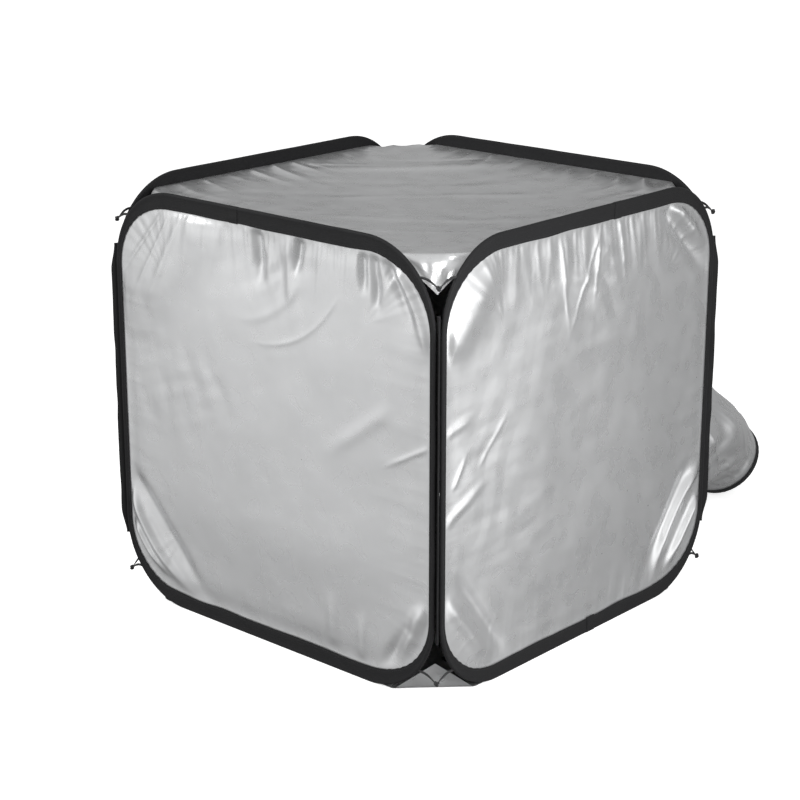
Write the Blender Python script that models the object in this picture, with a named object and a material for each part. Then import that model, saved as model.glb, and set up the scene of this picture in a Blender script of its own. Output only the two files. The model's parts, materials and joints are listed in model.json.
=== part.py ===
"""Pop-up enclosure tent for a desktop 3-D printer.

Four walls of silver cloth, each stretched inside its own sprung wire hoop, are sewn edge to edge into a
cube that folds flat. A roof, a floor, a zipped door in the left wall and a soft sleeve in the back wall
close it. Metres, +Z up. The origin is the middle of the floor's underside, and -Y is the front.
"""

import math
from collections import namedtuple

import bmesh
import bpy
from mathutils import Matrix, Vector

# Overall size
SIDE = 0.700               # across the outer faces of two opposite walls
HEIGHT = 0.700             # from the ground to the top of the hoops
CORNER_RADIUS = 0.130      # of a hoop's wire

# Hoop, and the tape folded over it
WIRE_DIAMETER = 0.0024
WIRE_END_GAP = 0.0010      # between the wire's two ends, inside the ferrule
FERRULE_WALL = 0.0005
FERRULE_LENGTH = 0.030
TAPE = 0.0008              # thickness of the black tape
CLOTH = 0.0010             # thickness of the silver cloth
EDGE_TAPE = 0.0225         # how far the tape reaches in from the wire at the top and bottom
SEAM_TAPE = 0.0070         # the same along the upright edges, where the tape is turned outwards
CLEARANCE = 0.0003         # between pieces that touch

# Upright seams
FLANGE_WIDTH = 0.013       # the tape that stands out along the cube's diagonals
FLANGE_END = 0.100         # from the ground, and from the top, to the flange's ends
FLANGE_TAPER = 0.045       # length over which each end narrows
FLANGE_TIP = 0.006         # width left at each end

# Ties across the corners
TIE_DIAMETER = 0.0040
KNOT_DIAMETER = 0.0110
TIE_SAG = 0.012            # how far the knot lies below the tie's ends
TIE_ANGLE = 40.0           # where round the hoop's corner the tie holds on, in degrees

# Folds of the cloth
PUCKERS = 12               # gathers round a wall
PUCKER_DEPTH = 0.0022
PUCKER_EDGE = 0.3          # how much sharper the valleys are than the ridges
WALL_BELLY = 0.0040        # how far the middle of a plain wall swells outwards
ROOF_SAG = 0.020
ROOF_WAVE = 0.0025         # height of the roof's long wrinkles
ROOF_WAVES = 5.0
ROOF_SEAM_SHARE = 0.85     # how far down the tape the roof is sewn on
DOOR_SWELL = 0.0022        # how far the middle of the door swells outwards
DOOR_GATHERS = 4
DOOR_GATHER_DEPTH = 0.0007
CORNER_FOLD = 0.086        # along the wall, the part of the roof and floor folded in at each corner
CORNER_FOLD_ANGLE = 62.0   # degrees from level

# Sleeve in the back wall
SLEEVE_X = 0.135
SLEEVE_Z = 0.180
SLEEVE_RADIUS = 0.128
SLEEVE_LENGTH = 0.385
MOUTH_RADIUS = 0.074
SLEEVE_DROOP = 0.112
SLEEVE_CREASES = 6         # soft folds round the sleeve
SLEEVE_CREASE_DEPTH = 0.0045
SLEEVE_CREASE_TWIST = 5.0  # radians that a crease turns round the sleeve along its length
SLEEVE_LOBES = 3           # broad hollows under the creases, turning the other way
SLEEVE_LOBE_SHARE = 0.6    # of the creases' depth
SLEEVE_LOBE_TWIST = 9.0
SLEEVE_TAPER_POWER = 1.5   # the sleeve narrows slowly at first
SLEEVE_DROOP_POWER = 3     # and bends down mostly near its mouth
COLLAR_WIDTH = 0.011
CUFF_REACH = 0.011
ELASTIC_DIAMETER = 0.0030

# Door in the left wall
DOOR_WIDTH = 0.440         # between the middles of the two zips
DOOR_HEIGHT = 0.450
DOOR_SILL = 0.090
DOOR_CORNER = 0.006
ZIP_GAP = 0.006            # between the two cloth edges that a zip joins
ZIP_TAPE = 0.013
ZIP_COIL = 0.0018
DOOR_TAPE = 0.018          # black tape over the door's top seam and bottom hem
SLIDER_LENGTH = 0.013
SLIDER_WIDTH = 0.0085
SLIDER_PLATE = 0.0016
PIN_DIAMETER = 0.0016
EYE_WALL = 0.0010
PULL_LENGTH = 0.030
PULL_WIDTH = 0.0055
PULL_THICKNESS = 0.0014
EAR_THICKNESS = 0.0010

# Worked out from the sizes above
FERRULE_RADIUS = WIRE_DIAMETER / 2 + CLEARANCE + FERRULE_WALL
CHANNEL_RADIUS = FERRULE_RADIUS + CLEARANCE
NOSE_RADIUS = CHANNEL_RADIUS + TAPE
SLOT_HALF = CLOTH / 2 + CLEARANCE
FLAP_HALF = SLOT_HALF + TAPE
CLOTH_EDGE = CHANNEL_RADIUS + CLEARANCE
SEAM_GAP = TAPE + CLEARANCE
WALL_MIDDLE = SEAM_GAP + NOSE_RADIUS
HINGE = SIDE / 2 - WALL_MIDDLE - NOSE_RADIUS
BEAD_RADIUS = math.sqrt(2) * WALL_MIDDLE - NOSE_RADIUS - CLEARANCE
INNER_FACE = HINGE + SEAM_GAP - CLEARANCE
ROOF_EDGE = HINGE + WALL_MIDDLE - FLAP_HALF - CLEARANCE
CLOTH_FACE = CLOTH / 2 + CLEARANCE

# Steps of the round and folded forms
CORNER_STEPS = 6
STRAIGHT_STEPS = 6
ROOF_CELLS = 16
SLEEVE_SIDES = 20
COLLAR_SIDES = 48
NOSE_SIDES = 8             # flats round the tape's nose
PULL_SIDES = 12
SMOOTH_ANGLE = math.radians(40)

Wall = namedtuple("Wall", "name hinge_u phase frame")
Station = namedtuple("Station", "u v angle")


def clear_scene():
    for item in list(bpy.data.objects):
        bpy.data.objects.remove(item, do_unlink=True)


def material(name, colour, roughness, metallic):
    finish = bpy.data.materials.new(name)
    finish.use_nodes = True
    shader = finish.node_tree.nodes["Principled BSDF"]
    shader.inputs["Base Color"].default_value = (*colour, 1.0)
    shader.inputs["Roughness"].default_value = roughness
    shader.inputs["Metallic"].default_value = metallic
    return finish


def add_empty(name, parent=None, location=(0, 0, 0), heading=0.0):
    empty = bpy.data.objects.new(name, None)
    bpy.context.collection.objects.link(empty)
    empty.parent = parent
    empty.location = location
    empty.rotation_euler = (0, 0, math.radians(heading))
    return empty


def add_piece(name, shape, finish, parent):
    """Turn a bmesh into a named object under its parent, shaded smooth up to the sharp edges."""
    bmesh.ops.recalc_face_normals(shape, faces=shape.faces)
    mesh = bpy.data.meshes.new(name)
    shape.to_mesh(mesh)
    shape.free()
    mesh.materials.append(finish)
    mesh.shade_smooth()
    mesh.set_sharp_from_angle(angle=SMOOTH_ANGLE)
    piece = bpy.data.objects.new(name, mesh)
    bpy.context.collection.objects.link(piece)
    piece.parent = parent
    return piece


def loft(rings, closed):
    """Skin over rings of points. A closed loft joins its last ring to the first, an open one has caps."""
    shape = bmesh.new()
    rows = [[shape.verts.new(point) for point in ring] for ring in rings]
    pairs = list(zip(rows, rows[1:]))
    if closed:
        pairs.append((rows[-1], rows[0]))
    for row, after in pairs:
        for i in range(len(row)):
            j = (i + 1) % len(row)
            shape.faces.new((row[i], row[j], after[j], after[i]))
    if not closed:
        shape.faces.new(rows[0])
        shape.faces.new(rows[-1])
    return shape


def shell(outside, inside, capped):
    """Cloth between two skins of rings, both split along the same diagonals so that they never cross.

    A rim joins the first rings. The last rings have a rim too, or are capped where the cloth is whole.
    """
    shape = bmesh.new()
    skins = []
    for rings in (outside, inside):
        rows = [[shape.verts.new(point) for point in ring] for ring in rings]
        for row, after in zip(rows, rows[1:]):
            for i in range(len(row)):
                j = (i + 1) % len(row)
                shape.faces.new((row[i], row[j], after[j]))
                shape.faces.new((row[i], after[j], after[i]))
        skins.append(rows)
    outer, inner = skins
    for end in (0,) if capped else (0, -1):
        for i in range(len(outer[end])):
            j = (i + 1) % len(outer[end])
            shape.faces.new((outer[end][i], outer[end][j], inner[end][j], inner[end][i]))
    if capped:
        shape.faces.new(outer[-1])
        shape.faces.new(inner[-1])
    return shape


def slab(columns, rows, top, bottom):
    """Closed sheet between two functions of the grid place (i, j), joined round the rim."""
    shape = bmesh.new()
    faces = []
    for side in (top, bottom):
        faces.append([[shape.verts.new(side(i, j)) for j in range(rows)] for i in range(columns)])
    for verts in faces:
        for i in range(columns - 1):
            for j in range(rows - 1):
                shape.faces.new((verts[i][j], verts[i + 1][j], verts[i + 1][j + 1], verts[i][j + 1]))
    rim = [(i, 0) for i in range(columns - 1)] + [(columns - 1, j) for j in range(rows - 1)]
    rim += [(i, rows - 1) for i in range(columns - 1, 0, -1)] + [(0, j) for j in range(rows - 1, 0, -1)]
    for (i, j), (k, m) in zip(rim, rim[1:] + rim[:1]):
        shape.faces.new((faces[0][i][j], faces[0][k][m], faces[1][k][m], faces[1][i][j]))
    return shape


def prism(outline, low, high):
    """Straight piece: an outline of (a, b) points pushed from low to high along the third way."""
    return loft([[(a, low, b) for a, b in outline], [(a, high, b) for a, b in outline]], closed=False)


def blend(start, end, share):
    return start + (end - start) * share


def smooth(share):
    share = min(max(share, 0.0), 1.0)
    return share * share * (3 - 2 * share)


def past_flats(radius, sides):
    """Radius of a ring's corners when its flats have to stay outside the given radius."""
    return radius / math.cos(math.pi / sides)


# Walls

def wall_point(wall, u, v, t):
    """A point of a wall: u along it, v up, t outwards from the middle of its cloth."""
    return Vector((u - wall.hinge_u, -(t + WALL_MIDDLE), v))


def rounded_stations(u_low, u_high, v_low, v_high, radius, straight_steps):
    """Points round an upright rounded rectangle, with the direction in which each faces out."""
    corners = [
        (u_high - radius, v_low + radius, -90),
        (u_high - radius, v_high - radius, 0),
        (u_low + radius, v_high - radius, 90),
        (u_low + radius, v_low + radius, 180),
    ]
    arcs = []
    for u, v, start in corners:
        arc = []
        for k in range(CORNER_STEPS + 1):
            angle = math.radians(start + 90 * k / CORNER_STEPS)
            arc.append(Station(u + radius * math.cos(angle), v + radius * math.sin(angle), angle))
        arcs.append(arc)
    stations = []
    for arc, after in zip(arcs, arcs[1:] + arcs[:1]):
        stations += arc
        for k in range(1, straight_steps):
            share = k / straight_steps
            stations.append(Station(blend(arc[-1].u, after[0].u, share),
                                    blend(arc[-1].v, after[0].v, share), arc[-1].angle))
    return stations


def wire_stations(straight_steps=1, inset=0.0):
    """The hoop's wire, or a line drawn in from it, round one wall."""
    side = WALL_MIDDLE + inset
    edge = NOSE_RADIUS + inset
    radius = CORNER_RADIUS - inset
    return rounded_stations(side, 2 * HINGE - side, edge, HEIGHT - edge, radius, straight_steps)


def tape_section(channel, reach):
    """Tape folded over a core: a round nose outside, a round channel inside, and two flaps that reach in.

    Points are (s, t): s inwards from the core's middle, t across the fold.
    """
    turns = [2 * math.pi * (k + 1.5) / NOSE_SIDES for k in range(NOSE_SIDES - 2)]
    nose = past_flats(channel + TAPE, NOSE_SIDES)
    core = past_flats(channel, NOSE_SIDES)
    outside = [(nose * math.cos(turn), nose * math.sin(turn)) for turn in turns]
    inside = [(core * math.cos(turn), core * math.sin(turn)) for turn in turns]
    neck = channel + TAPE
    outside = [(reach, FLAP_HALF), (neck, FLAP_HALF)] + outside
    outside += [(neck, -FLAP_HALF), (reach, -FLAP_HALF)]
    inside = [(reach, SLOT_HALF), (channel, SLOT_HALF)] + inside
    inside += [(channel, -SLOT_HALF), (reach, -SLOT_HALF)]
    return outside + inside[::-1]


def tape_reach(angle):
    """The tape is wide along the top and bottom, narrow up the sides, and changes round the corners."""
    return blend(SEAM_TAPE, EDGE_TAPE, math.sin(angle) ** 2)


def binding(wall):
    rings = []
    for u, v, angle in wire_stations():
        section = tape_section(CHANNEL_RADIUS, tape_reach(angle))
        rings.append([wall_point(wall, u - s * math.cos(angle), v - s * math.sin(angle), t)
                      for s, t in section])
    return loft(rings, closed=True)


def tube_ring(wall, station, radius, sides=6):
    ring = []
    for k in range(sides):
        turn = 2 * math.pi * k / sides
        reach = radius * math.cos(turn)
        ring.append(wall_point(wall, station.u + reach * math.cos(station.angle),
                               station.v + reach * math.sin(station.angle), radius * math.sin(turn)))
    return ring


def hoop(wall):
    """The sprung wire, whose two ends meet in the middle of the bottom edge."""
    around = wire_stations()
    down = math.radians(-90)
    first = Station(HINGE + WIRE_END_GAP / 2, NOSE_RADIUS, down)
    last = Station(HINGE - WIRE_END_GAP / 2, NOSE_RADIUS, down)
    path = [first] + around + [last]
    return loft([tube_ring(wall, station, WIRE_DIAMETER / 2) for station in path], closed=False)


def ferrule(wall):
    """Crimped tube that joins the two ends of the wire."""
    rings = []
    bore = FERRULE_RADIUS - FERRULE_WALL
    for side, radius in ((-1, FERRULE_RADIUS), (1, FERRULE_RADIUS), (1, bore), (-1, bore)):
        station = Station(HINGE + side * FERRULE_LENGTH / 2, NOSE_RADIUS, math.radians(-90))
        rings.append(tube_ring(wall, station, past_flats(radius, NOSE_SIDES), NOSE_SIDES))
    return loft(rings, closed=True)


def toward_middle(station, share):
    return (blend(station.u, HINGE, share), blend(station.v, HEIGHT / 2, share))


def flat_share():
    """How far in towards the middle the cloth stays flat, between the flaps of the tape."""
    return (EDGE_TAPE + CLEARANCE) / (HEIGHT / 2 - NOSE_RADIUS)


def pucker(index, count, phase):
    """Gathers that the hoop's pull makes round the cloth: rounded ridges with sharper valleys."""
    turn = math.cos(2 * math.pi * PUCKERS * index / count + phase)
    return PUCKER_DEPTH * (turn + PUCKER_EDGE * turn * turn)


def plain_wall(wall):
    """Cloth with no opening: gathered near the hoop, and swelling a little outwards in the middle."""
    edge = wire_stations(STRAIGHT_STEPS, CLOTH_EDGE)
    flat = flat_share()
    gather_by_way_in = {0.05: 1.0, 0.15: 0.85, 0.32: 0.45, 0.56: 0.15, 0.82: 0.0}
    shares = [0.0, flat] + [blend(flat, 1.0, way_in) for way_in in gather_by_way_in]
    gathers = [0.0, 0.0] + list(gather_by_way_in.values())
    sides = []
    for face in (CLOTH / 2, -CLOTH / 2):
        rings = []
        for share, gather in zip(shares, gathers):
            belly = WALL_BELLY * smooth((share - flat) / (1 - flat))
            ring = []
            for i, station in enumerate(edge):
                u, v = toward_middle(station, share)
                ring.append(wall_point(wall, u, v, face + belly + gather * pucker(i, len(edge), wall.phase)))
            rings.append(ring)
        sides.append(rings)
    return shell(sides[0], sides[1], capped=True)


def open_wall(wall, opening):
    """Cloth round an opening. Each ring of the opening has as many points as the hoop's outline."""
    way_in = 0.45
    middle_gather = 0.45
    edge = wire_stations(STRAIGHT_STEPS, CLOTH_EDGE)
    flat = flat_share()
    flat_ring = [toward_middle(station, flat) for station in edge]
    rings = [([(station.u, station.v) for station in edge], 0.0), (flat_ring, 0.0)]
    middle = [(blend(a, c, way_in), blend(b, d, way_in)) for (a, b), (c, d) in zip(flat_ring, opening[0])]
    rings.append((middle, middle_gather))
    rings += [(ring, 0.0) for ring in opening]
    front = []
    back = []
    for ring, gather in rings:
        lift = [gather * pucker(i, len(ring), wall.phase) for i in range(len(ring))]
        front.append([wall_point(wall, u, v, CLOTH / 2 + t) for (u, v), t in zip(ring, lift)])
        back.append([wall_point(wall, u, v, -CLOTH / 2 + t) for (u, v), t in zip(ring, lift)])
    return shell(front, back, capped=False)


def make_wall(wall, finishes, cloth):
    add_piece(wall.name + "_hoop", hoop(wall), finishes["wire"], wall.frame)
    add_piece(wall.name + "_ferrule", ferrule(wall), finishes["ferrule"], wall.frame)
    add_piece(wall.name + "_binding", binding(wall), finishes["tape"], wall.frame)
    add_piece(wall.name + "_wall", cloth, finishes["cloth"], wall.frame)


# Upright seams and corner ties

def flange():
    """Two tapes sewn face to face: a round bead on the fold line and a blade along local +X."""
    rings = []
    top = HEIGHT - FLANGE_END
    levels = [
        (FLANGE_END, FLANGE_TIP), (FLANGE_END + FLANGE_TAPER, FLANGE_WIDTH),
        (top - FLANGE_TAPER, FLANGE_WIDTH), (top, FLANGE_TIP),
    ]
    root = math.asin(TAPE / BEAD_RADIUS)
    for z, width in levels:
        ring = []
        for k in range(NOSE_SIDES):
            turn = blend(root, 2 * math.pi - root, k / (NOSE_SIDES - 1))
            ring.append((BEAD_RADIUS * math.cos(turn), BEAD_RADIUS * math.sin(turn), z))
        ring.append((width, -TAPE, z))
        ring.append((width, TAPE, z))
        rings.append(ring)
    return loft(rings, closed=False)


def tie(top):
    """Knotted tie between the two hoops of one corner. Local +X points out of the corner."""
    bend_share = 0.6       # of the way from an arm's end to the knot
    bend_rise = 0.7 * TIE_DIAMETER
    bend_width = 0.9
    shoulder = 0.45 * KNOT_DIAMETER
    knot_width = KNOT_DIAMETER / TIE_DIAMETER
    shoulder_width = 0.62 * knot_width
    angle = math.radians(TIE_ANGLE)
    step = math.radians(90 / CORNER_STEPS)
    flats = math.cos(step / 2) / math.cos(angle % step - step / 2)
    reach = (CORNER_RADIUS + NOSE_RADIUS) * flats + CLEARANCE
    along = WALL_MIDDLE + CORNER_RADIUS - reach * math.cos(angle)
    level = NOSE_RADIUS + CORNER_RADIUS - reach * math.sin(angle)
    up = 1 if top else -1
    ends = []
    for side in (1, -1):
        wall_way = Matrix.Rotation(math.radians(135 * side), 3, "Z") @ Vector((1, 0, 0))
        out_way = Matrix.Rotation(math.radians(45 * side), 3, "Z") @ Vector((1, 0, 0))
        height = HEIGHT - level if top else level
        holds = wall_way * along + out_way * WALL_MIDDLE + Vector((0, 0, height))
        away = (-wall_way * math.cos(angle) + Vector((0, 0, up * math.sin(angle)))).normalized()
        ends.append((holds, away))
    knot = Vector((0, 0, ends[0][0].z - TIE_SAG))
    path = []
    for side, (holds, away) in enumerate(ends):
        half = [holds, holds + away * TIE_DIAMETER, holds.lerp(knot, bend_share) + away * bend_rise]
        path += half if side == 0 else half[::-1]
        if side == 0:
            path += [knot + (holds - knot).normalized() * shoulder, knot]
            path += [knot + (ends[1][0] - knot).normalized() * shoulder]
    widths = [1.0, 1.0, bend_width, shoulder_width, knot_width]
    widths += widths[-2::-1]
    rings = []
    for i, point in enumerate(path):
        if i == 0:
            forward = ends[0][1]
        elif i == len(path) - 1:
            forward = -ends[1][1]
        else:
            forward = (path[i + 1] - path[i - 1]).normalized()
        side_way = forward.cross(Vector((1, 0, 0))).normalized()
        other_way = side_way.cross(forward)
        ring = []
        for k in range(NOSE_SIDES):
            turn = 2 * math.pi * k / NOSE_SIDES
            offset = side_way * math.cos(turn) + other_way * math.sin(turn)
            ring.append(point + offset * widths[i] * TIE_DIAMETER / 2)
        rings.append(ring)
    return loft(rings, closed=False)


def make_corner(name, corner, heading, finishes):
    frame = add_empty(name + "_seam", location=(*corner, 0), heading=heading)
    add_piece(name + "_flange", flange(), finishes["tape"], frame)
    add_piece(name + "_top_tie", tie(top=True), finishes["tie"], frame)
    add_piece(name + "_bottom_tie", tie(top=False), finishes["tie"], frame)


# Roof and floor

def roof_point(i, j, lift):
    """The roof hangs from the lower edge of the tapes, sags, and is folded down at its four corners."""
    x = ROOF_EDGE * (2 * i / ROOF_CELLS - 1)
    y = ROOF_EDGE * (2 * j / ROOF_CELLS - 1)
    level = HEIGHT - NOSE_RADIUS - EDGE_TAPE * ROOF_SEAM_SHARE
    inside = (1 - (x / ROOF_EDGE) ** 2) * (1 - (y / ROOF_EDGE) ** 2)
    across = (x - y) / (2 * ROOF_EDGE)
    wave = ROOF_WAVE * math.sqrt(inside) * math.sin(2 * math.pi * ROOF_WAVES * across)
    z = level - ROOF_SAG * inside + wave
    past = (abs(x) + abs(y) - (2 * ROOF_EDGE - CORNER_FOLD)) / math.sqrt(2)
    if past > 0:
        fold = math.radians(CORNER_FOLD_ANGLE)
        back = past * (1 - math.cos(fold)) / math.sqrt(2)
        x -= math.copysign(back, x)
        y -= math.copysign(back, y)
        z -= past * math.sin(fold)
    return (x, y, z + lift)


def roof():
    count = ROOF_CELLS + 1

    def upper(i, j):
        return roof_point(i, j, CLOTH / 2)

    def lower(i, j):
        return roof_point(i, j, -CLOTH / 2)

    return slab(count, count, upper, lower)


def floor():
    """Flat sheet on the ground, with its four corners folded up between the hoops."""
    fold = math.radians(CORNER_FOLD_ANGLE)
    depth = CORNER_FOLD / math.sqrt(2)
    tip = INNER_FACE - depth * (1 - math.cos(fold)) / math.sqrt(2)
    corner = [(INNER_FACE, INNER_FACE - CORNER_FOLD, 0.0), (tip, tip, depth * math.sin(fold)),
              (INNER_FACE - CORNER_FOLD, INNER_FACE, 0.0)]
    shape = bmesh.new()
    sides = []
    for lift in (0.0, CLOTH):
        verts = []
        for turn in range(4):
            spin = Matrix.Rotation(math.radians(90 * turn), 3, "Z")
            verts += [shape.verts.new(spin @ Vector(point) + Vector((0, 0, lift))) for point in corner]
        shape.faces.new([vert for k, vert in enumerate(verts) if k % 3 != 1])
        for k in range(0, 12, 3):
            shape.faces.new(verts[k:k + 3])
        sides.append(verts)
    for k in range(12):
        m = (k + 1) % 12
        shape.faces.new((sides[0][k], sides[0][m], sides[1][m], sides[1][k]))
    return shape


# Sleeve

def sleeve_u():
    """The sleeve's place along the back wall, which runs from the +X corner towards -X."""
    return HINGE - SLEEVE_X


def circle(radius, sides):
    return [(radius * math.cos(2 * math.pi * k / sides), radius * math.sin(2 * math.pi * k / sides))
            for k in range(sides)]


def sleeve_hole():
    return SLEEVE_RADIUS + CLOTH / 2 + CLEARANCE


def sleeve_opening():
    """Rings of the back wall's cloth round the sleeve: one under the collar's rim, one at the hole."""
    edge = wire_stations(STRAIGHT_STEPS, CLOTH_EDGE)
    angles = [math.atan2(station.v - SLEEVE_Z, station.u - sleeve_u()) for station in edge]
    steps = [(after - angle) % (2 * math.pi) for angle, after in zip(angles, angles[1:] + angles[:1])]
    outside_flats = 1 / math.cos(max(steps) / 2)
    rings = []
    for radius in (sleeve_hole() + COLLAR_WIDTH + CLEARANCE, sleeve_hole()):
        reach = radius * outside_flats
        rings.append([(sleeve_u() + reach * math.cos(angle), SLEEVE_Z + reach * math.sin(angle))
                      for angle in angles])
    return rings


def collar(wall):
    """Flat ring of tape sewn over the seam between the sleeve and the wall."""
    inner = past_flats(sleeve_hole(), COLLAR_SIDES)
    rings = []
    for radius, t in ((inner, 0), (inner + COLLAR_WIDTH, 0), (inner + COLLAR_WIDTH, TAPE), (inner, TAPE)):
        rings.append([wall_point(wall, sleeve_u() + a, SLEEVE_Z + b, CLOTH_FACE + t)
                      for a, b in circle(radius, COLLAR_SIDES)])
    return loft(rings, closed=True)


def sleeve_shares():
    """Where the sleeve's rings lie along it. The last stretch is straight and holds the cuff."""
    straight = (CUFF_REACH + CLOTH_EDGE) / SLEEVE_LENGTH
    main = [0.0, 0.03, 0.09, 0.17, 0.26, 0.36, 0.47, 0.58, 0.69, 0.79, 0.88]
    return [share * (1 - straight) / main[-1] for share in main] + [1.0]


def sleeve_ring(wall, share, face):
    """One ring of the sleeve. It narrows towards the mouth, droops, and has soft creases between its ends."""
    creased = 0.9          # share of the length that has creases
    fade = 0.7
    power = SLEEVE_DROOP_POWER
    radius = blend(SLEEVE_RADIUS, MOUTH_RADIUS, share ** SLEEVE_TAPER_POWER) + face
    drop = SLEEVE_DROOP * share ** power
    tilt = math.atan(power * SLEEVE_DROOP * share ** (power - 1) / SLEEVE_LENGTH)
    crease = SLEEVE_CREASE_DEPTH * math.sin(math.pi * min(share / creased, 1.0)) ** fade
    ring = []
    for k in range(SLEEVE_SIDES):
        turn = 2 * math.pi * k / SLEEVE_SIDES
        wave = math.sin(SLEEVE_CREASES * turn + SLEEVE_CREASE_TWIST * share)
        lobe = SLEEVE_LOBE_SHARE * math.sin(SLEEVE_LOBES * turn - SLEEVE_LOBE_TWIST * share)
        swell = radius + crease * (wave + lobe)
        rise = swell * math.sin(turn)
        u = sleeve_u() + swell * math.cos(turn)
        v = SLEEVE_Z - drop + rise * math.cos(tilt)
        t = share * SLEEVE_LENGTH - CLOTH / 2 + rise * math.sin(tilt)
        ring.append(wall_point(wall, u, v, t))
    return ring


def sleeve(wall):
    shares = sleeve_shares()
    outside = [sleeve_ring(wall, share, CLOTH / 2) for share in shares]
    inside = [sleeve_ring(wall, share, -CLOTH / 2) for share in shares]
    return shell(outside, inside, capped=False)


def mouth_frames(wall):
    """For each point of the elastic: its place, the way back along the cloth, and the way out across it."""
    shares = sleeve_shares()
    before = sleeve_ring(wall, shares[-2], 0)
    end = sleeve_ring(wall, shares[-1], 0)
    edge = ELASTIC_DIAMETER / 2 + 2 * CLEARANCE
    frames = []
    for k in range(SLEEVE_SIDES):
        back = (before[k] - end[k]).normalized()
        round_way = end[(k + 1) % SLEEVE_SIDES] - end[k - 1]
        frames.append((end[k] - back * edge, back, round_way.cross(back).normalized()))
    return frames


def cuff(wall):
    """Hem of tape folded over the elastic, with the sleeve's edge between its flaps."""
    section = tape_section(ELASTIC_DIAMETER / 2 + CLEARANCE, CUFF_REACH)
    rings = [[place + back * s + out * t for s, t in section] for place, back, out in mouth_frames(wall)]
    return loft(rings, closed=True)


def elastic(wall):
    ring_points = circle(ELASTIC_DIAMETER / 2, 6)
    rings = [[place + back * a + out * b for a, b in ring_points] for place, back, out in mouth_frames(wall)]
    return loft(rings, closed=True)


# Door

def door_opening():
    """Rings of the left wall's cloth: one round the tapes, which lie flat on it, and one at the doorway."""
    half = DOOR_WIDTH / 2 + ZIP_GAP / 2
    top = DOOR_SILL + DOOR_HEIGHT
    rings = []
    for margin in (max(ZIP_TAPE, DOOR_TAPE), CLEARANCE):
        stations = rounded_stations(HINGE - half - margin, HINGE + half + margin, DOOR_SILL - margin,
                                    top + margin, DOOR_CORNER + margin, STRAIGHT_STEPS)
        rings.append([(station.u, station.v) for station in stations])
    return rings


def door_axis_t():
    """The door turns in front of the zips, so that it can lie back against the wall above."""
    return CLOTH_FACE + TAPE + ZIP_COIL


def door_point(u, v, t):
    """A point of the door, measured from the middle of its top seam and from its turning line."""
    return Vector((u, -(t - door_axis_t()), v))


def door_flap():
    """Cloth between the two zips, with a rounded edge line and a slight outward swell."""
    half = DOOR_WIDTH / 2 - ZIP_GAP / 2 - CLEARANCE
    stations = rounded_stations(-half, half, -DOOR_HEIGHT, -CLEARANCE, DOOR_CORNER, STRAIGHT_STEPS)
    margin = ZIP_TAPE + DOOR_TAPE
    rings_by_side = []
    for face in (CLOTH / 2, -CLOTH / 2):
        rings = []
        for share, lift in ((0.0, 0.0), (margin / half, 0.0), (0.5, 0.7), (0.9, 1.0)):
            ring = []
            for i, station in enumerate(stations):
                wave = math.cos(2 * math.pi * DOOR_GATHERS * i / len(stations))
                swell = DOOR_SWELL * lift + DOOR_GATHER_DEPTH * wave * lift * (1 - lift)
                ring.append(door_point(station.u * (1 - share), blend(station.v, -DOOR_HEIGHT / 2, share),
                                       face + swell))
            rings.append(ring)
        rings_by_side.append(rings)
    return shell(rings_by_side[0], rings_by_side[1], capped=True)


def zip_half(outward):
    """Tape of one side of a zip with its coil: an L-shaped strip. u runs from the zip's middle."""
    near = CLEARANCE
    coil = near + ZIP_COIL
    bevel = ZIP_COIL * 0.3
    outline = [(near, 0), (ZIP_TAPE, 0), (ZIP_TAPE, TAPE), (coil, TAPE), (coil, TAPE + ZIP_COIL - bevel),
               (coil - bevel, TAPE + ZIP_COIL), (near, TAPE + ZIP_COIL)]
    return [(outward * u, t) for u, t in outline]


def strip(points, low, high, place):
    """Upright strip with the outline (u, t), from v = low to v = high, placed by a point function."""
    rings = [[place(u, v, t + CLOTH_FACE) for u, t in points] for v in (low, high)]
    return loft(rings, closed=False)


def flat_tape(u_low, u_high, v_low, v_high, place):
    points = [(u_low, 0), (u_high, 0), (u_high, TAPE), (u_low, TAPE)]
    return strip(points, v_low, v_high, place)


def slider_base():
    """How far the slider's plate lies in front of its turning line for the pull."""
    return PIN_DIAMETER / 2 + CLEARANCE + EYE_WALL + CLEARANCE


def union(shape, other):
    """Join a second closed shape to the first with an exact Boolean."""
    pieces = []
    for name, source in (("whole", shape), ("added", other)):
        bmesh.ops.recalc_face_normals(source, faces=source.faces)
        mesh = bpy.data.meshes.new(name)
        source.to_mesh(mesh)
        source.free()
        piece = bpy.data.objects.new(name, mesh)
        bpy.context.collection.objects.link(piece)
        pieces.append(piece)
    whole, added = pieces
    join = whole.modifiers.new("join", "BOOLEAN")
    join.operation = "UNION"
    join.solver = "EXACT"
    join.object = added
    evaluated = whole.evaluated_get(bpy.context.evaluated_depsgraph_get())
    result = bmesh.new()
    result.from_mesh(evaluated.to_mesh())
    evaluated.to_mesh_clear()
    for piece in pieces:
        bpy.data.objects.remove(piece, do_unlink=True)
    return result


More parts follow.
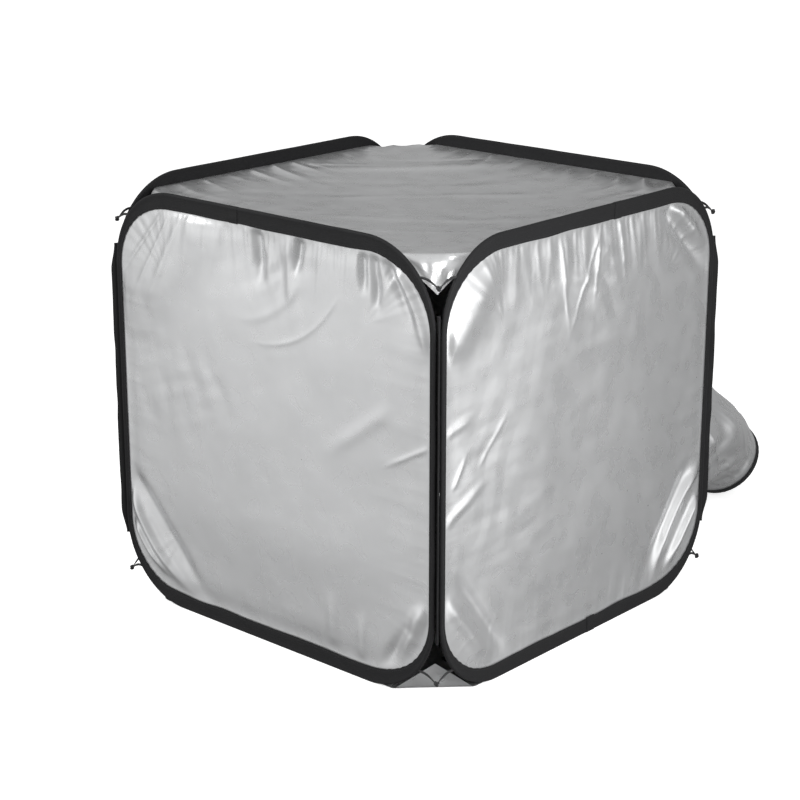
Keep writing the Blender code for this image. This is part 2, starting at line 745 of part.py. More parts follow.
def slider():
    """Zip slider: a shield-shaped plate, two ears and the pin that carries the pull.

    Local X is along the pin, -Y is outwards and Z is up; the origin is the pin's middle.
    """
    back = slider_base() + SLIDER_PLATE
    front = slider_base()
    half = SLIDER_WIDTH / 2
    foot = half * 0.62
    head = half * 0.55
    waist = SLIDER_LENGTH * 0.1
    shoulder = SLIDER_LENGTH * 0.38
    end = SLIDER_LENGTH / 2
    outline = [(-foot, -end), (foot, -end), (half, waist), (half, shoulder), (head, end), (-head, end),
               (-half, shoulder), (-half, waist)]
    body = prism(outline, front, back)
    sink = SLIDER_PLATE / 2
    ear_half = PIN_DIAMETER * 0.9
    ear_foot = ear_half * 1.4
    ear_tip = ear_half * 0.5
    for side in (-1, 1):
        inner = side * ear_inner()
        outer = side * (ear_inner() + EAR_THICKNESS)
        profile = [(-ear_foot, front + sink), (ear_foot, front + sink), (ear_half, 0.0), (ear_tip, -ear_half),
                   (-ear_tip, -ear_half), (-ear_half, 0.0)]
        ear = loft([[(u, y, z) for z, y in profile] for u in (inner, outer)], closed=False)
        body = union(body, ear)
    reach = ear_inner() + EAR_THICKNESS / 2
    pin_ring = circle(PIN_DIAMETER / 2, NOSE_SIDES)
    pin = loft([[(u, y, z) for y, z in pin_ring] for u in (-reach, reach)], closed=False)
    return union(body, pin)


def ear_inner():
    return PULL_WIDTH / 2 + CLEARANCE


def pull():
    """Flat tab that hangs from the slider's pin by a round eye at its top."""
    hole = past_flats(PIN_DIAMETER / 2 + CLEARANCE, PULL_SIDES)
    eye = hole + EYE_WALL - CLEARANCE / 3
    half = PULL_THICKNESS / 2
    foot = math.sqrt(eye * eye - half * half)
    tail_turn = math.asin(half / eye)
    outer = []
    for k in range(PULL_SIDES):
        turn = blend(-math.pi / 2 + tail_turn, 3 * math.pi / 2 - tail_turn, k / (PULL_SIDES - 1))
        outer.append((eye * math.cos(turn), eye * math.sin(turn)))
    inner = []
    for k in range(PULL_SIDES):
        turn = 2 * math.pi * (k + 0.5) / PULL_SIDES - math.pi / 2
        inner.append((hole * math.cos(turn), hole * math.sin(turn)))
    width = PULL_WIDTH / 2
    rings = []
    for points, u in ((outer, -width), (outer, width), (inner, width), (inner, -width)):
        rings.append([(u, y, z) for y, z in points])
    ring = loft(rings, closed=True)
    grip = half * 1.15
    stem = width * 0.62
    levels = [
        (-foot + half * 0.5, half * 0.9, width * 0.9),
        (-eye - EYE_WALL, half, stem),
        (-PULL_LENGTH * 0.55, half, stem),
        (-PULL_LENGTH * 0.65, grip, width),
        (-PULL_LENGTH * 0.96, grip, width),
        (-PULL_LENGTH, half * 0.6, width * 0.8),
    ]
    tab = [[(-w, -h, z), (w, -h, z), (w, h, z), (-w, h, z)] for z, h, w in levels]
    return union(ring, loft(tab, closed=False))


def slider_rise():
    """Height of a slider's pin above the door's bottom edge when the zip is shut."""
    return SLIDER_LENGTH / 2 + PULL_LENGTH


def make_door(wall, finishes):
    """Flap hung from its top seam, the tape over that seam, two zips, and their sliders and pulls."""
    top = DOOR_SILL + DOOR_HEIGHT
    hang = wall_point(wall, HINGE, top, door_axis_t())
    door = add_empty("door_turning_line", wall.frame, hang)

    def on_wall(u, v, t):
        return wall_point(wall, HINGE + u, v, t)

    half = DOOR_WIDTH / 2
    inside = half - ZIP_TAPE - CLEARANCE
    add_piece("door_flap", door_flap(), finishes["cloth"], door)
    header = flat_tape(-half, half, top + 2 * CLEARANCE, top + DOOR_TAPE, on_wall)
    add_piece("door_header_tape", header, finishes["tape"], wall.frame)
    hem = flat_tape(-inside, inside, -DOOR_HEIGHT, -DOOR_HEIGHT + DOOR_TAPE, door_point)
    add_piece("door_hem_tape", hem, finishes["tape"], door)
    for name, side in (("rear", -1), ("front", 1)):
        def wall_side(u, v, t, middle=side * half):
            return on_wall(middle + u, v, t)

        def door_side(u, v, t, middle=side * half):
            return door_point(middle + u, v, t)

        wall_tape = strip(zip_half(side), DOOR_SILL, top, wall_side)
        add_piece(name + "_zip_wall_tape", wall_tape, finishes["tape"], wall.frame)
        door_tape = strip(zip_half(-side), -DOOR_HEIGHT, -CLEARANCE, door_side)
        add_piece(name + "_zip_door_tape", door_tape, finishes["tape"], door)
        pin_t = door_axis_t() + CLEARANCE + SLIDER_PLATE + slider_base()
        pin = door_point(side * half, slider_rise() - DOOR_HEIGHT, pin_t)
        runner = add_empty(name + "_slider_pin", door, pin)
        add_piece(name + "_slider", slider(), finishes["zip"], runner)
        add_piece(name + "_pull", pull(), finishes["zip"], runner)


def make_sleeve(wall, finishes):
    add_piece("sleeve_collar", collar(wall), finishes["tape"], wall.frame)
    add_piece("vent_sleeve", sleeve(wall), finishes["cloth"], wall.frame)
    add_piece("sleeve_cuff", cuff(wall), finishes["tape"], wall.frame)
    add_piece("sleeve_elastic", elastic(wall), finishes["elastic"], wall.frame)


def main():
    clear_scene()
    finishes = {
        "cloth": material("silver_cloth", (0.62, 0.63, 0.64), 0.34, 0.85),
        "tape": material("black_tape", (0.020, 0.020, 0.022), 0.75, 0.0),
        "tie": material("black_tie", (0.015, 0.015, 0.016), 0.85, 0.0),
        "wire": material("spring_wire", (0.45, 0.46, 0.48), 0.30, 1.0),
        "ferrule": material("crimp_ferrule", (0.60, 0.61, 0.62), 0.40, 1.0),
        "zip": material("zip_metal", (0.05, 0.05, 0.055), 0.40, 0.6),
        "elastic": material("white_elastic", (0.70, 0.70, 0.68), 0.90, 0.0),
    }
    places = {
        "front": ((-HINGE, -HINGE), 0, 0.0, 0.4),
        "right": ((HINGE, -HINGE), 90, 0.0, 2.1),
        "back": ((HINGE, HINGE), 180, 0.0, 1.2),
        "left": ((-HINGE, -HINGE), 270, 2 * HINGE, 0.0),
    }
    walls = {}
    for name, (corner, heading, hinge_u, phase) in places.items():
        frame = add_empty(name + "_hinge", location=(*corner, 0), heading=heading)
        walls[name] = Wall(name, hinge_u, phase, frame)
    for name in ("front", "right"):
        make_wall(walls[name], finishes, plain_wall(walls[name]))
    for name, opening in (("back", sleeve_opening()), ("left", door_opening())):
        make_wall(walls[name], finishes, open_wall(walls[name], opening))
    make_sleeve(walls["back"], finishes)
    make_door(walls["left"], finishes)
    corners = {
        "front_right": (1, -1, -45), "back_right": (1, 1, 45),
        "back_left": (-1, 1, 135), "front_left": (-1, -1, 225),
    }
    for name, (x, y, heading) in corners.items():
        make_corner(name, (x * HINGE, y * HINGE), heading, finishes)
    add_piece("roof_panel", roof(), finishes["cloth"], walls["front"].frame)
    add_piece("floor_panel", floor(), finishes["cloth"], walls["front"].frame)
    for name in ("roof_panel", "floor_panel"):
        bpy.data.objects[name].location = (HINGE, HINGE, 0)


main()
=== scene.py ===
# %% [markdown]
# # Dressing a pop-up enclosure tent
# The real tent is four squares of silver coated cloth. Each is stretched inside a sprung wire hoop, and a
# black tape folded over the wire holds the two together. The frame loaded here has plain solids at their
# true size and place. This lesson gives them what the eye expects: gathered cloth, folded tape, stitches,
# zips and a soft sleeve. Every piece takes its place from the frame, so it still moves with its body.

# %% Load the frame
import json
import math

import bmesh
import bpy
import numpy as np
from mathutils import Matrix, Vector


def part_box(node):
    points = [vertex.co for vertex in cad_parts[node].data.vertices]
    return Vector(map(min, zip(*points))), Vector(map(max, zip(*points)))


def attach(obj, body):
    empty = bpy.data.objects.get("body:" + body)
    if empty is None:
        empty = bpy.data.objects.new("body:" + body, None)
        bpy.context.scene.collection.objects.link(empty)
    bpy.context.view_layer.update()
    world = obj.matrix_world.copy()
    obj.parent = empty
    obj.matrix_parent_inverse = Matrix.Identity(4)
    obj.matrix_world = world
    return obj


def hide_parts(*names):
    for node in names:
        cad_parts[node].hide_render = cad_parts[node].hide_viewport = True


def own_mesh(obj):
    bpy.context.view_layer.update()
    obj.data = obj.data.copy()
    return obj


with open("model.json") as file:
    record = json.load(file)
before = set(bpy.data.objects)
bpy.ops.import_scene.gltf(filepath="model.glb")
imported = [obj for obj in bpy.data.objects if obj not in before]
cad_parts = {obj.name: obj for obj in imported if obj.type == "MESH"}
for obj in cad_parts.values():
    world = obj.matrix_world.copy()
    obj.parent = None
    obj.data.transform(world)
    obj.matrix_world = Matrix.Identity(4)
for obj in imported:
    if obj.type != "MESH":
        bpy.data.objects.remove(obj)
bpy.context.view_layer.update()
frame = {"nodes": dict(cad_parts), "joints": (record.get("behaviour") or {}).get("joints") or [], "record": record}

# %% [markdown]
# ## Sizes from the frame
# A wall has its own coordinates: u runs along it, v runs up, and t runs outwards from the middle of the
# cloth. The four walls are the same wall turned by a quarter turn, so one helper places the points of all
# of them. The hoop's box gives the wire's path, and the joints give the fold line and the door's seam.

# %% Sizes and the wall coordinates
WIRE_RADIUS = 0.0012
CORNER = 0.130             # radius of the wire's corners
EDGE_REACH = 0.0225        # how far the tape reaches in at the top and bottom
SEAM_REACH = 0.0070        # the same up the sides
TAPE = 0.0008              # thickness of the black tape
CLOTH = 0.0010             # thickness that the solids give the cloth
CLEARANCE = 0.0003
SLOT_HALF = CLOTH / 2 + CLEARANCE
FLAP_HALF = SLOT_HALF + TAPE
HEADINGS = {"front": 0, "right": 90, "back": 180, "left": 270}
JOINTS = {joint["name"]: joint for joint in frame["joints"]}

hoop_low, hoop_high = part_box("front_hoop")
tape_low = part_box("front_binding")[0]
MIDDLE = -(hoop_low[1] + hoop_high[1]) / 2
WIRE_HALF = hoop_high[0] - WIRE_RADIUS
WIRE_LOW = hoop_low[2] + WIRE_RADIUS
WIRE_HIGH = hoop_high[2] - WIRE_RADIUS
MID_HEIGHT = (WIRE_LOW + WIRE_HIGH) / 2
HALF_HEIGHT = (WIRE_HIGH - WIRE_LOW) / 2
FLAT_U = WIRE_HALF - CORNER        # half the straight part of the wire, along the wall and up it
FLAT_V = HALF_HEIGHT - CORNER
NOSE = WIRE_LOW - tape_low[2]
CHANNEL = NOSE - TAPE
HINGE = JOINTS["wall_fold"]["pos_m"][0]
FOLD_TO_WALL = MIDDLE - HINGE


def on_wall(wall, u, v, t):
    """Points of a wall in the row frame: u along it, v up, t outwards from the middle of its cloth."""
    heading = math.radians(HEADINGS[wall])
    x = u * math.cos(heading) + (MIDDLE + t) * math.sin(heading)
    y = u * math.sin(heading) - (MIDDLE + t) * math.cos(heading)
    return np.stack(np.broadcast_arrays(x, y, v), axis=-1)


print("cloth lies", round(MIDDLE, 4), "m out, wire half width", round(WIRE_HALF, 4), "m")

# %% [markdown]
# ## Meshes from arrays
# Cloth with hundreds of small folds is easiest to make as a grid of points with a formula for its height,
# much like a sculptor's displacement brush. Tape is a loft: one cross-section carried along a path. Both
# are only arrays of points, so numpy makes them and one helper turns them into a named Blender mesh.

# %% Mesh helpers
SHARP_ANGLE = math.radians(50)     # a loft's edges over this angle stay crisp


def link_mesh(name, mesh):
    """An object in the scene for a mesh."""
    thing = bpy.data.objects.new(name, mesh)
    bpy.context.scene.collection.objects.link(thing)
    return thing


def new_piece(name, points, faces, finish, smooth=True):
    """A mesh object from an array of points and a list of faces."""
    mesh = bpy.data.meshes.new(name)
    mesh.from_pydata(np.asarray(points, float).tolist(), [], np.asarray(faces).tolist())
    mesh.materials.append(finish)
    if smooth:
        mesh.shade_smooth()
    mesh.update()
    return link_mesh(name, mesh)


def ring_faces(rows, columns, closed):
    """Quads between rows of points, each row a closed ring. A closed loft joins the last row to the first."""
    row = np.arange(rows if closed else rows - 1)[:, None]
    column = np.arange(columns)[None, :]
    after_row = (row + 1) % rows
    after_column = (column + 1) % columns
    quads = [row * columns + column, row * columns + after_column,
             after_row * columns + after_column, after_row * columns + column]
    return np.stack(np.broadcast_arrays(*quads), axis=-1).reshape(-1, 4)


def loft(name, rings, finish, closed=False):
    """Skin over an array of rings. An open loft gets a cap at each end."""
    rings = np.asarray(rings, float)
    rows, columns, _ = rings.shape
    faces = ring_faces(rows, columns, closed).tolist()
    if not closed:
        faces.append(list(range(columns - 1, -1, -1)))
        faces.append(list(range((rows - 1) * columns, rows * columns)))
    mesh = bpy.data.meshes.new(name)
    mesh.from_pydata(rings.reshape(-1, 3).tolist(), [], faces)
    mesh.materials.append(finish)
    shape = bmesh.new()
    shape.from_mesh(mesh)
    bmesh.ops.recalc_face_normals(shape, faces=shape.faces)
    shape.to_mesh(mesh)
    shape.free()
    mesh.shade_smooth()
    mesh.set_sharp_from_angle(angle=SHARP_ANGLE)
    return link_mesh(name, mesh)


print("mesh helpers ready")


# %% Grids of cloth
RIM_SHARE = 0.72           # grid points up to this share of a cell outside are drawn in to the rim


def cloth_grid(low, high, spacing, inside):
    """A square grid trimmed where inside(u, v) is below zero, with its rim drawn onto that line."""
    counts = [max(2, round((b - a) / spacing) + 1) for a, b in zip(low, high)]
    u, v = np.meshgrid(np.linspace(low[0], high[0], counts[0]),
                       np.linspace(low[1], high[1], counts[1]), indexing="ij")
    depth = inside(u, v)
    nudge = spacing / 50
    slope_u = (inside(u + nudge, v) - inside(u - nudge, v)) / (2 * nudge)
    slope_v = (inside(u, v + nudge) - inside(u, v - nudge)) / (2 * nudge)
    past = np.where(depth < 0, depth, 0)
    kept = depth > -RIM_SHARE * spacing
    u = u - past * slope_u
    v = v - past * slope_v
    cells = kept[:-1, :-1] & kept[1:, :-1] & kept[1:, 1:] & kept[:-1, 1:]
    used = np.zeros_like(kept)
    for rows, columns in ((slice(None, -1), slice(None, -1)), (slice(1, None), slice(None, -1)),
                          (slice(1, None), slice(1, None)), (slice(None, -1), slice(1, None))):
        used[rows, columns] |= cells
    index = np.cumsum(used).reshape(used.shape) - 1
    i, j = np.nonzero(cells)
    faces = np.stack([index[i, j], index[i + 1, j], index[i + 1, j + 1], index[i, j + 1]], axis=-1)
    return u[used], v[used], faces


def square_grid(edge, spacing):
    """A square sheet that reaches edge to either side of its middle."""
    def inside(x, y):
        return edge - np.maximum(np.abs(x), np.abs(y))

    return cloth_grid((-edge, -edge), (edge, edge), spacing, inside)


print("grid helpers ready")


# %% Directions, smooth steps and noise
def unit(rows):
    """Each row of an array as a direction of length 1."""
    return rows / np.linalg.norm(rows, axis=1)[:, None]


def ramp(value, low, high):
    """0 below low, 1 above high, and a smooth step between them."""
    share = np.clip((value - low) / (high - low), 0, 1)
    return share * share * (3 - 2 * share)


def soft_noise(x, y, seed):
    """Smooth random values from -1 to 1 on a lattice of unit cells."""
    size = 64
    lattice = np.random.default_rng(seed).uniform(-1, 1, (size, size))
    i = np.floor(x).astype(int)
    j = np.floor(y).astype(int)
    a = ramp(x - i, 0, 1)
    b = ramp(y - j, 0, 1)
    low = lattice[i % size, j % size] * (1 - a) + lattice[(i + 1) % size, j % size] * a
    high = lattice[i % size, (j + 1) % size] * (1 - a) + lattice[(i + 1) % size, (j + 1) % size] * a
    return low * (1 - b) + high * b


SAMPLE = soft_noise(np.linspace(0, 60, 600), np.zeros(600), 1)
print("a row of noise runs from", round(SAMPLE.min(), 2), "to", round(SAMPLE.max(), 2))

# %% [markdown]
# ## Shared surface effects
# Three small effects return on most of the finishes: threads, fine creases and an uneven finish. Each is a
# node group with named inputs, built once. They read object coordinates, so no unwrapping is needed, and a
# diagonal pair of waves gives threads on walls and roof alike.

# %% Node helpers
def node_group(name, inputs, outputs):
    """An empty group with named number inputs and outputs, and the nodes that hold them."""
    group = bpy.data.node_groups.new(name, "ShaderNodeTree")
    for label, default in inputs:
        socket = group.interface.new_socket(name=label, in_out="INPUT", socket_type="NodeSocketFloat")
        socket.default_value = default
    for label in outputs:
        group.interface.new_socket(name=label, in_out="OUTPUT", socket_type="NodeSocketFloat")
    entry = group.nodes.new("NodeGroupInput")
    leave = group.nodes.new("NodeGroupOutput")
    return group, entry, leave


def math_node(tree, operation, *values):
    """A Math node whose inputs are sockets or plain numbers."""
    node = tree.nodes.new("ShaderNodeMath")
    node.operation = operation
    for socket, value in zip(node.inputs, values):
        if isinstance(value, (int, float)):
            socket.default_value = value
        else:
            tree.links.new(value, socket)
    return node.outputs[0]


def object_place(tree):
    """The place on a piece, in metres."""
    return tree.nodes.new("ShaderNodeTexCoord").outputs["Object"]


def noise_node(tree, scale, detail):
    """A noise texture in object coordinates. Its scale is a socket or a plain number."""
    node = tree.nodes.new("ShaderNodeTexNoise")
    node.inputs["Detail"].default_value = detail
    tree.links.new(object_place(tree), node.inputs["Vector"])
    if isinstance(scale, (int, float)):
        node.inputs["Scale"].default_value = scale
    else:
        tree.links.new(scale, node.inputs["Scale"])
    return node.outputs["Fac"]


print("node helpers ready")


# %% The three shared effects
def make_thread_weave():
    """Crossing threads: the product of waves along the cloth and up it."""
    group, entry, leave = node_group("thread_weave", [("Threads per metre", 1600.0)], ["Height"])
    split = group.nodes.new("ShaderNodeSeparateXYZ")
    group.links.new(object_place(group), split.inputs[0])
    turn = math_node(group, "MULTIPLY", entry.outputs[0], math.pi)
    level = math_node(group, "ADD", split.outputs["X"], split.outputs["Y"])
    across = math_node(group, "SUBTRACT", split.outputs["X"], split.outputs["Y"])
    waves = []
    for place in (level, math_node(group, "ADD", split.outputs["Z"], across)):
        waves.append(math_node(group, "SINE", math_node(group, "MULTIPLY", place, turn)))
    group.links.new(math_node(group, "MULTIPLY", waves[0], waves[1]), leave.inputs[0])
    return group


def make_fine_crumple():
    """Small soft creases of coated cloth, at two sizes."""
    group, entry, leave = node_group("fine_crumple", [("Creases per metre", 30.0)], ["Height", "Mask"])
    broad = noise_node(group, entry.outputs[0], 1.0)
    fine = noise_node(group, math_node(group, "MULTIPLY", entry.outputs[0], 2.7), 1.0)
    total = math_node(group, "ADD", broad, math_node(group, "MULTIPLY", fine, 0.4))
    group.links.new(total, leave.inputs["Height"])
    group.links.new(fine, leave.inputs["Mask"])
    return group


def make_uneven_finish():
    """Slow change over the surface, to vary colour and roughness."""
    group, entry, leave = node_group("uneven_finish", [("Patches per metre", 6.0)], ["Mask"])
    group.links.new(noise_node(group, entry.outputs[0], 4.0), leave.inputs[0])
    return group


GROUPS = {"weave": make_thread_weave(), "crumple": make_fine_crumple(), "uneven": make_uneven_finish()}
print("node groups:", ", ".join(GROUPS))

# %% [markdown]
# ## Finishes
# The silver cloth is a thin woven base with a metal coat, so it is mostly metallic with a satin roughness
# that changes from place to place. The tape is a matt black weave with a little sheen. Metal pieces get
# scuffs. A finish here is one Principled shader plus the shared groups, each with its own values.

# %% Finish helpers
def finish(name, colour, roughness, metallic=0.0):
    """A plain finish, for the groups below to build on."""
    made = bpy.data.materials.new(name)
    made.use_nodes = True
    shader = made.node_tree.nodes["Principled BSDF"]
    shader.inputs["Base Color"].default_value = (*colour, 1.0)
    shader.inputs["Roughness"].default_value = roughness
    shader.inputs["Metallic"].default_value = metallic
    return made


def place_group(tree, key, value):
    """One of the shared groups in a finish, with its own scale."""
    node = tree.nodes.new("ShaderNodeGroup")
    node.node_tree = GROUPS[key]
    node.inputs[0].default_value = value
    return node


def vary(made, socket, mask, low, high):
    """Let a mask move one of the shader's values, or its colour, between two ends."""
    tree = made.node_tree
    shader = tree.nodes["Principled BSDF"]
    if isinstance(low, tuple):
        mix = tree.nodes.new("ShaderNodeMix")
        mix.data_type = "RGBA"
        tree.links.new(mask, mix.inputs["Factor"])
        mix.inputs["A"].default_value = (*low, 1.0)
        mix.inputs["B"].default_value = (*high, 1.0)
        tree.links.new(mix.outputs["Result"], shader.inputs[socket])
    else:
        node = tree.nodes.new("ShaderNodeMapRange")
        node.inputs["From Min"].default_value = 0.3
        node.inputs["From Max"].default_value = 0.7
        node.inputs["To Min"].default_value = low
        node.inputs["To Max"].default_value = high
        tree.links.new(mask, node.inputs["Value"])
        tree.links.new(node.outputs["Result"], shader.inputs[socket])


def add_bumps(made, *heights):
    """Chain bump nodes into the shader's normal: each is a height socket with its depth in metres."""
    tree = made.node_tree
    before = None
    for height, depth in heights:
        bump = tree.nodes.new("ShaderNodeBump")
        bump.inputs["Strength"].default_value = 1.0
        bump.inputs["Distance"].default_value = depth
        tree.links.new(height, bump.inputs["Height"])
        if before is not None:
            tree.links.new(before, bump.inputs["Normal"])
        before = bump.outputs["Normal"]
    tree.links.new(before, tree.nodes["Principled BSDF"].inputs["Normal"])


print("finish helpers ready")


# %% Cloth, tape and thread finishes
def make_silver_cloth():
    made = finish("silver_cloth", (0.66, 0.665, 0.67), 0.32, 0.70)
    tree = made.node_tree
    uneven = place_group(tree, "uneven", 7.0)
    crumple = place_group(tree, "crumple", 11.0)
    weave = place_group(tree, "weave", 1500.0)
    vary(made, "Base Color", uneven.outputs["Mask"], (0.575, 0.58, 0.585), (0.64, 0.645, 0.65))
    vary(made, "Roughness", crumple.outputs["Mask"], 0.24, 0.36)
    add_bumps(made, (crumple.outputs["Height"], 0.0009), (weave.outputs["Height"], 0.000003))
    return made


def make_black_tape():
    made = finish("black_tape", (0.010, 0.010, 0.011), 0.80)
    tree = made.node_tree
    uneven = place_group(tree, "uneven", 24.0)
    weave = place_group(tree, "weave", 700.0)
    shader = tree.nodes["Principled BSDF"]
    shader.inputs["Specular IOR Level"].default_value = 0.22
    shader.inputs["Sheen Weight"].default_value = 0.03
    shader.inputs["Sheen Roughness"].default_value = 0.45
    vary(made, "Base Color", uneven.outputs["Mask"], (0.007, 0.007, 0.0075), (0.014, 0.014, 0.015))
    vary(made, "Roughness", uneven.outputs["Mask"], 0.62, 0.85)
    add_bumps(made, (weave.outputs["Height"], 0.00012))
    return made


def make_plain_thread(name, colour, roughness, threads):
    made = finish(name, colour, roughness)
    tree = made.node_tree
    weave = place_group(tree, "weave", threads)
    uneven = place_group(tree, "uneven", 40.0)
    lighter = tuple(min(1.0, value * 1.5 + 0.004) for value in colour)
    vary(made, "Base Color", uneven.outputs["Mask"], colour, lighter)
    add_bumps(made, (weave.outputs["Height"], 0.00015))
    return made


def make_metal(name, colour, worn, roughness, metallic):
    made = finish(name, colour, roughness, metallic)
    tree = made.node_tree
    uneven = place_group(tree, "uneven", 160.0)
    crumple = place_group(tree, "crumple", 420.0)
    vary(made, "Base Color", uneven.outputs["Mask"], colour, worn)
    vary(made, "Roughness", crumple.outputs["Mask"], roughness * 0.8, roughness * 1.25)
    add_bumps(made, (crumple.outputs["Height"], 0.00002))
    return made


FINISHES = {
    "silver_cloth": make_silver_cloth(),
    "black_tape": make_black_tape(),
    "black_tie": make_plain_thread("black_tie", (0.014, 0.014, 0.015), 0.80, 900.0),
    "stitch": make_plain_thread("black_stitch", (0.030, 0.030, 0.032), 0.55, 2200.0),
    "coil": make_plain_thread("zip_coil", (0.022, 0.022, 0.024), 0.38, 1800.0),
    "white_elastic": make_plain_thread("white_elastic", (0.62, 0.62, 0.60), 0.85, 800.0),
    "zip_metal": make_metal("zip_metal", (0.035, 0.035, 0.038), (0.09, 0.09, 0.092), 0.36, 0.75),
    "spring_wire": make_metal("spring_wire", (0.42, 0.43, 0.45), (0.55, 0.56, 0.58), 0.28, 1.0),
    "crimp_ferrule": make_metal("crimp_ferrule", (0.58, 0.59, 0.60), (0.70, 0.71, 0.72), 0.40, 1.0),
}


def settle(piece, body, finish_key, *nodes):
    """The last step of each piece: its body and the solids that it stands for."""
    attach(piece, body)
    if nodes:
        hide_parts(*nodes)
    return piece


print("finishes:", ", ".join(FINISHES))

# %% [markdown]
# ## How cloth folds inside a hoop
# A hoop pulls its cloth unevenly. Gathers run in from the tape, square to it, and die out. At a corner the
# cloth has length to spare, so folds cut across it like crescents. Handling leaves long soft creases and
# patches of small facets, as in foil. Each of these is a function of the place on the wall, and a wall's
# shape is their sum. The cloth stays flat where the tape holds it.

# %% Places in a hoop
def hoop_depth(u, v):
    """Distance in from the wire, the way round it from the top middle, and how level its edge is there."""
    across = np.abs(u) - FLAT_U
    rise = np.abs(v - MID_HEIGHT) - FLAT_V
    beyond = np.hypot(np.maximum(across, 0), np.maximum(rise, 0))
    depth = CORNER - beyond - np.minimum(np.maximum(across, rise), 0)
    in_corner = (across > 0) & (rise > 0)
    turn = np.where(in_corner, np.arctan2(across, rise), np.where(rise >= across, 0, math.pi / 2))
    along_top = np.where(in_corner, FLAT_U + CORNER * turn, np.abs(u))
    along_side = FLAT_U + CORNER * math.pi / 2 - rise
    quarter = FLAT_U + CORNER * math.pi / 2 + FLAT_V
    along = np.where(turn >= math.pi / 2, along_side, along_top)
    along = np.where(v >= MID_HEIGHT, along, 2 * quarter - along) * np.where(u >= 0, 1, -1)
    return depth, along, np.cos(turn) ** 2


def tape_reach(level):
    """How far the tape reaches in: wide on the level edges, narrow up the sides."""
    return SEAM_REACH + (EDGE_REACH - SEAM_REACH) * level


print("a wall's middle lies", round(float(hoop_depth(0.0, MID_HEIGHT)[0]), 3), "m in from its wire")


# %% Gathers, creases and facets
def gathers(along, inward, pitch, reach, depth, seed):
    """Uneven ridges that run in from an edge: along is the way along it, inward the distance from it."""
    wander = 0.45 * soft_noise(along / (1.7 * pitch), inward / (2.2 * reach), seed)
    place = along / pitch + wander
    ridge = 1 - np.abs(np.sin(math.pi * place)) ** 0.8
    which = np.floor(place + 0.5)
    size = 0.5 + 0.5 * soft_noise(which * 0.73 + 0.31, which * 0 + 0.5, seed + 1)
    length = reach * (0.45 + 0.9 * size)
    rise = ramp(inward, 0, 0.35 * pitch)
    return depth * size * (ridge - 0.36) * rise * np.exp(-np.maximum(inward, 0) / length)


def fold(u, v, start, end, width, height, bow=0.0, sharp=False):
    """One crease from start to end. A bow bends it, and a sharp one has a crisp crest."""
    run = np.subtract(end, start)
    length = np.hypot(*run)
    along = ((u - start[0]) * run[0] + (v - start[1]) * run[1]) / length ** 2
    aside = ((v - start[1]) * run[0] - (u - start[0]) * run[1]) / length
    inside = np.clip(along, 0, 1)
    aside = aside - 4 * bow * inside * (1 - inside)
    distance = np.abs(aside) / width
    crest = np.exp(-2.2 * distance) if sharp else np.exp(-distance ** 2)
    ends = ramp(along, -0.10, 0.18) * (1 - ramp(along, 0.55, 1.1))
    return height * crest * ends


FACET_SETS = 6
FACET_SLOPE = 0.013        # height of a facet for each metre of its width


def facets(u, v, seed, spots):
    """Small flat facets of creased coated cloth, stronger round the given spots (u, v, size, strength)."""
    draw = np.random.default_rng(seed)
    mask = 0.06 + 0.45 * ramp(soft_noise(u / 0.13, v / 0.13, seed + 1), 0.1, 0.8)
    for spot_u, spot_v, size, strength in spots:
        mask = mask + strength * np.exp(-((u - spot_u) ** 2 + (v - spot_v) ** 2) / size ** 2)
    total = np.zeros_like(u)
    for k in range(FACET_SETS):
        way = draw.uniform(0, math.pi)
        pitch = draw.uniform(0.028, 0.080)
        wander = 0.5 * soft_noise(u / 0.09, v / 0.09, seed + 10 + k)
        place = (u * math.cos(way) + v * math.sin(way)) / pitch + wander
        wave = np.abs((place % 1) * 2 - 1)
        total += (wave - 0.5) * pitch * FACET_SLOPE
    return mask * total


print("gathers, creases and facets ready")

# %% Relief of a whole wall
FOLD_GAIN = 1.5            # one dial for all of the listed creases
WALL_GATHERS = ((0.0125, 0.036, 0.0017), (0.029, 0.055, 0.0026), (0.061, 0.095, 0.0042))
GATHER_LIMIT = 0.128       # gathers have died out this far in from the wire
BROAD_SWELL, BROAD_SIZE = 0.0024, 0.17     # height and size of the slow swells of the cloth
SMALL_SWELL, SMALL_SIZE = 0.0004, 0.06


def wall_relief(u, v, seed, folds, spots, belly):
    """Height of a wall's cloth: flat under the tape, then gathered, creased and slightly swollen.

    Each of WALL_GATHERS is a pitch along the tape, a reach into the wall and a height.
    """
    depth, along, level = hoop_depth(u, v)
    inward = depth - tape_reach(level)
    top = ramp(v, 0.35, 0.60)
    weight = level * (0.22 + 0.78 * top) + (1 - level) * (0.16 + 0.12 * top)
    sides = ramp(WIRE_HALF - np.abs(u), -0.02, 0.24)
    ends = ramp(HALF_HEIGHT - np.abs(v - MID_HEIGHT), -0.01, 0.22)
    t = belly * sides * ends * ramp(inward, 0, 0.03)
    fade = 1 - ramp(depth, 0.10, GATHER_LIMIT)
    for pitch, reach, size in WALL_GATHERS:
        t = t + weight * fade * gathers(along, inward, pitch, reach, size, seed + round(1000 * pitch))
    free = ramp(inward, 0, 0.05)
    t = t + free * BROAD_SWELL * soft_noise(u / BROAD_SIZE, v / BROAD_SIZE, seed + 2)
    t = t + free * SMALL_SWELL * soft_noise(u / SMALL_SIZE, v / SMALL_SIZE, seed + 3)
    for values in folds:
        t = t + FOLD_GAIN * fold(u, v, *values) * ramp(inward, 0, 0.012)
    return t + free * facets(u, v, seed + 5, spots)


print("a wall has", len(WALL_GATHERS), "sizes of gather")
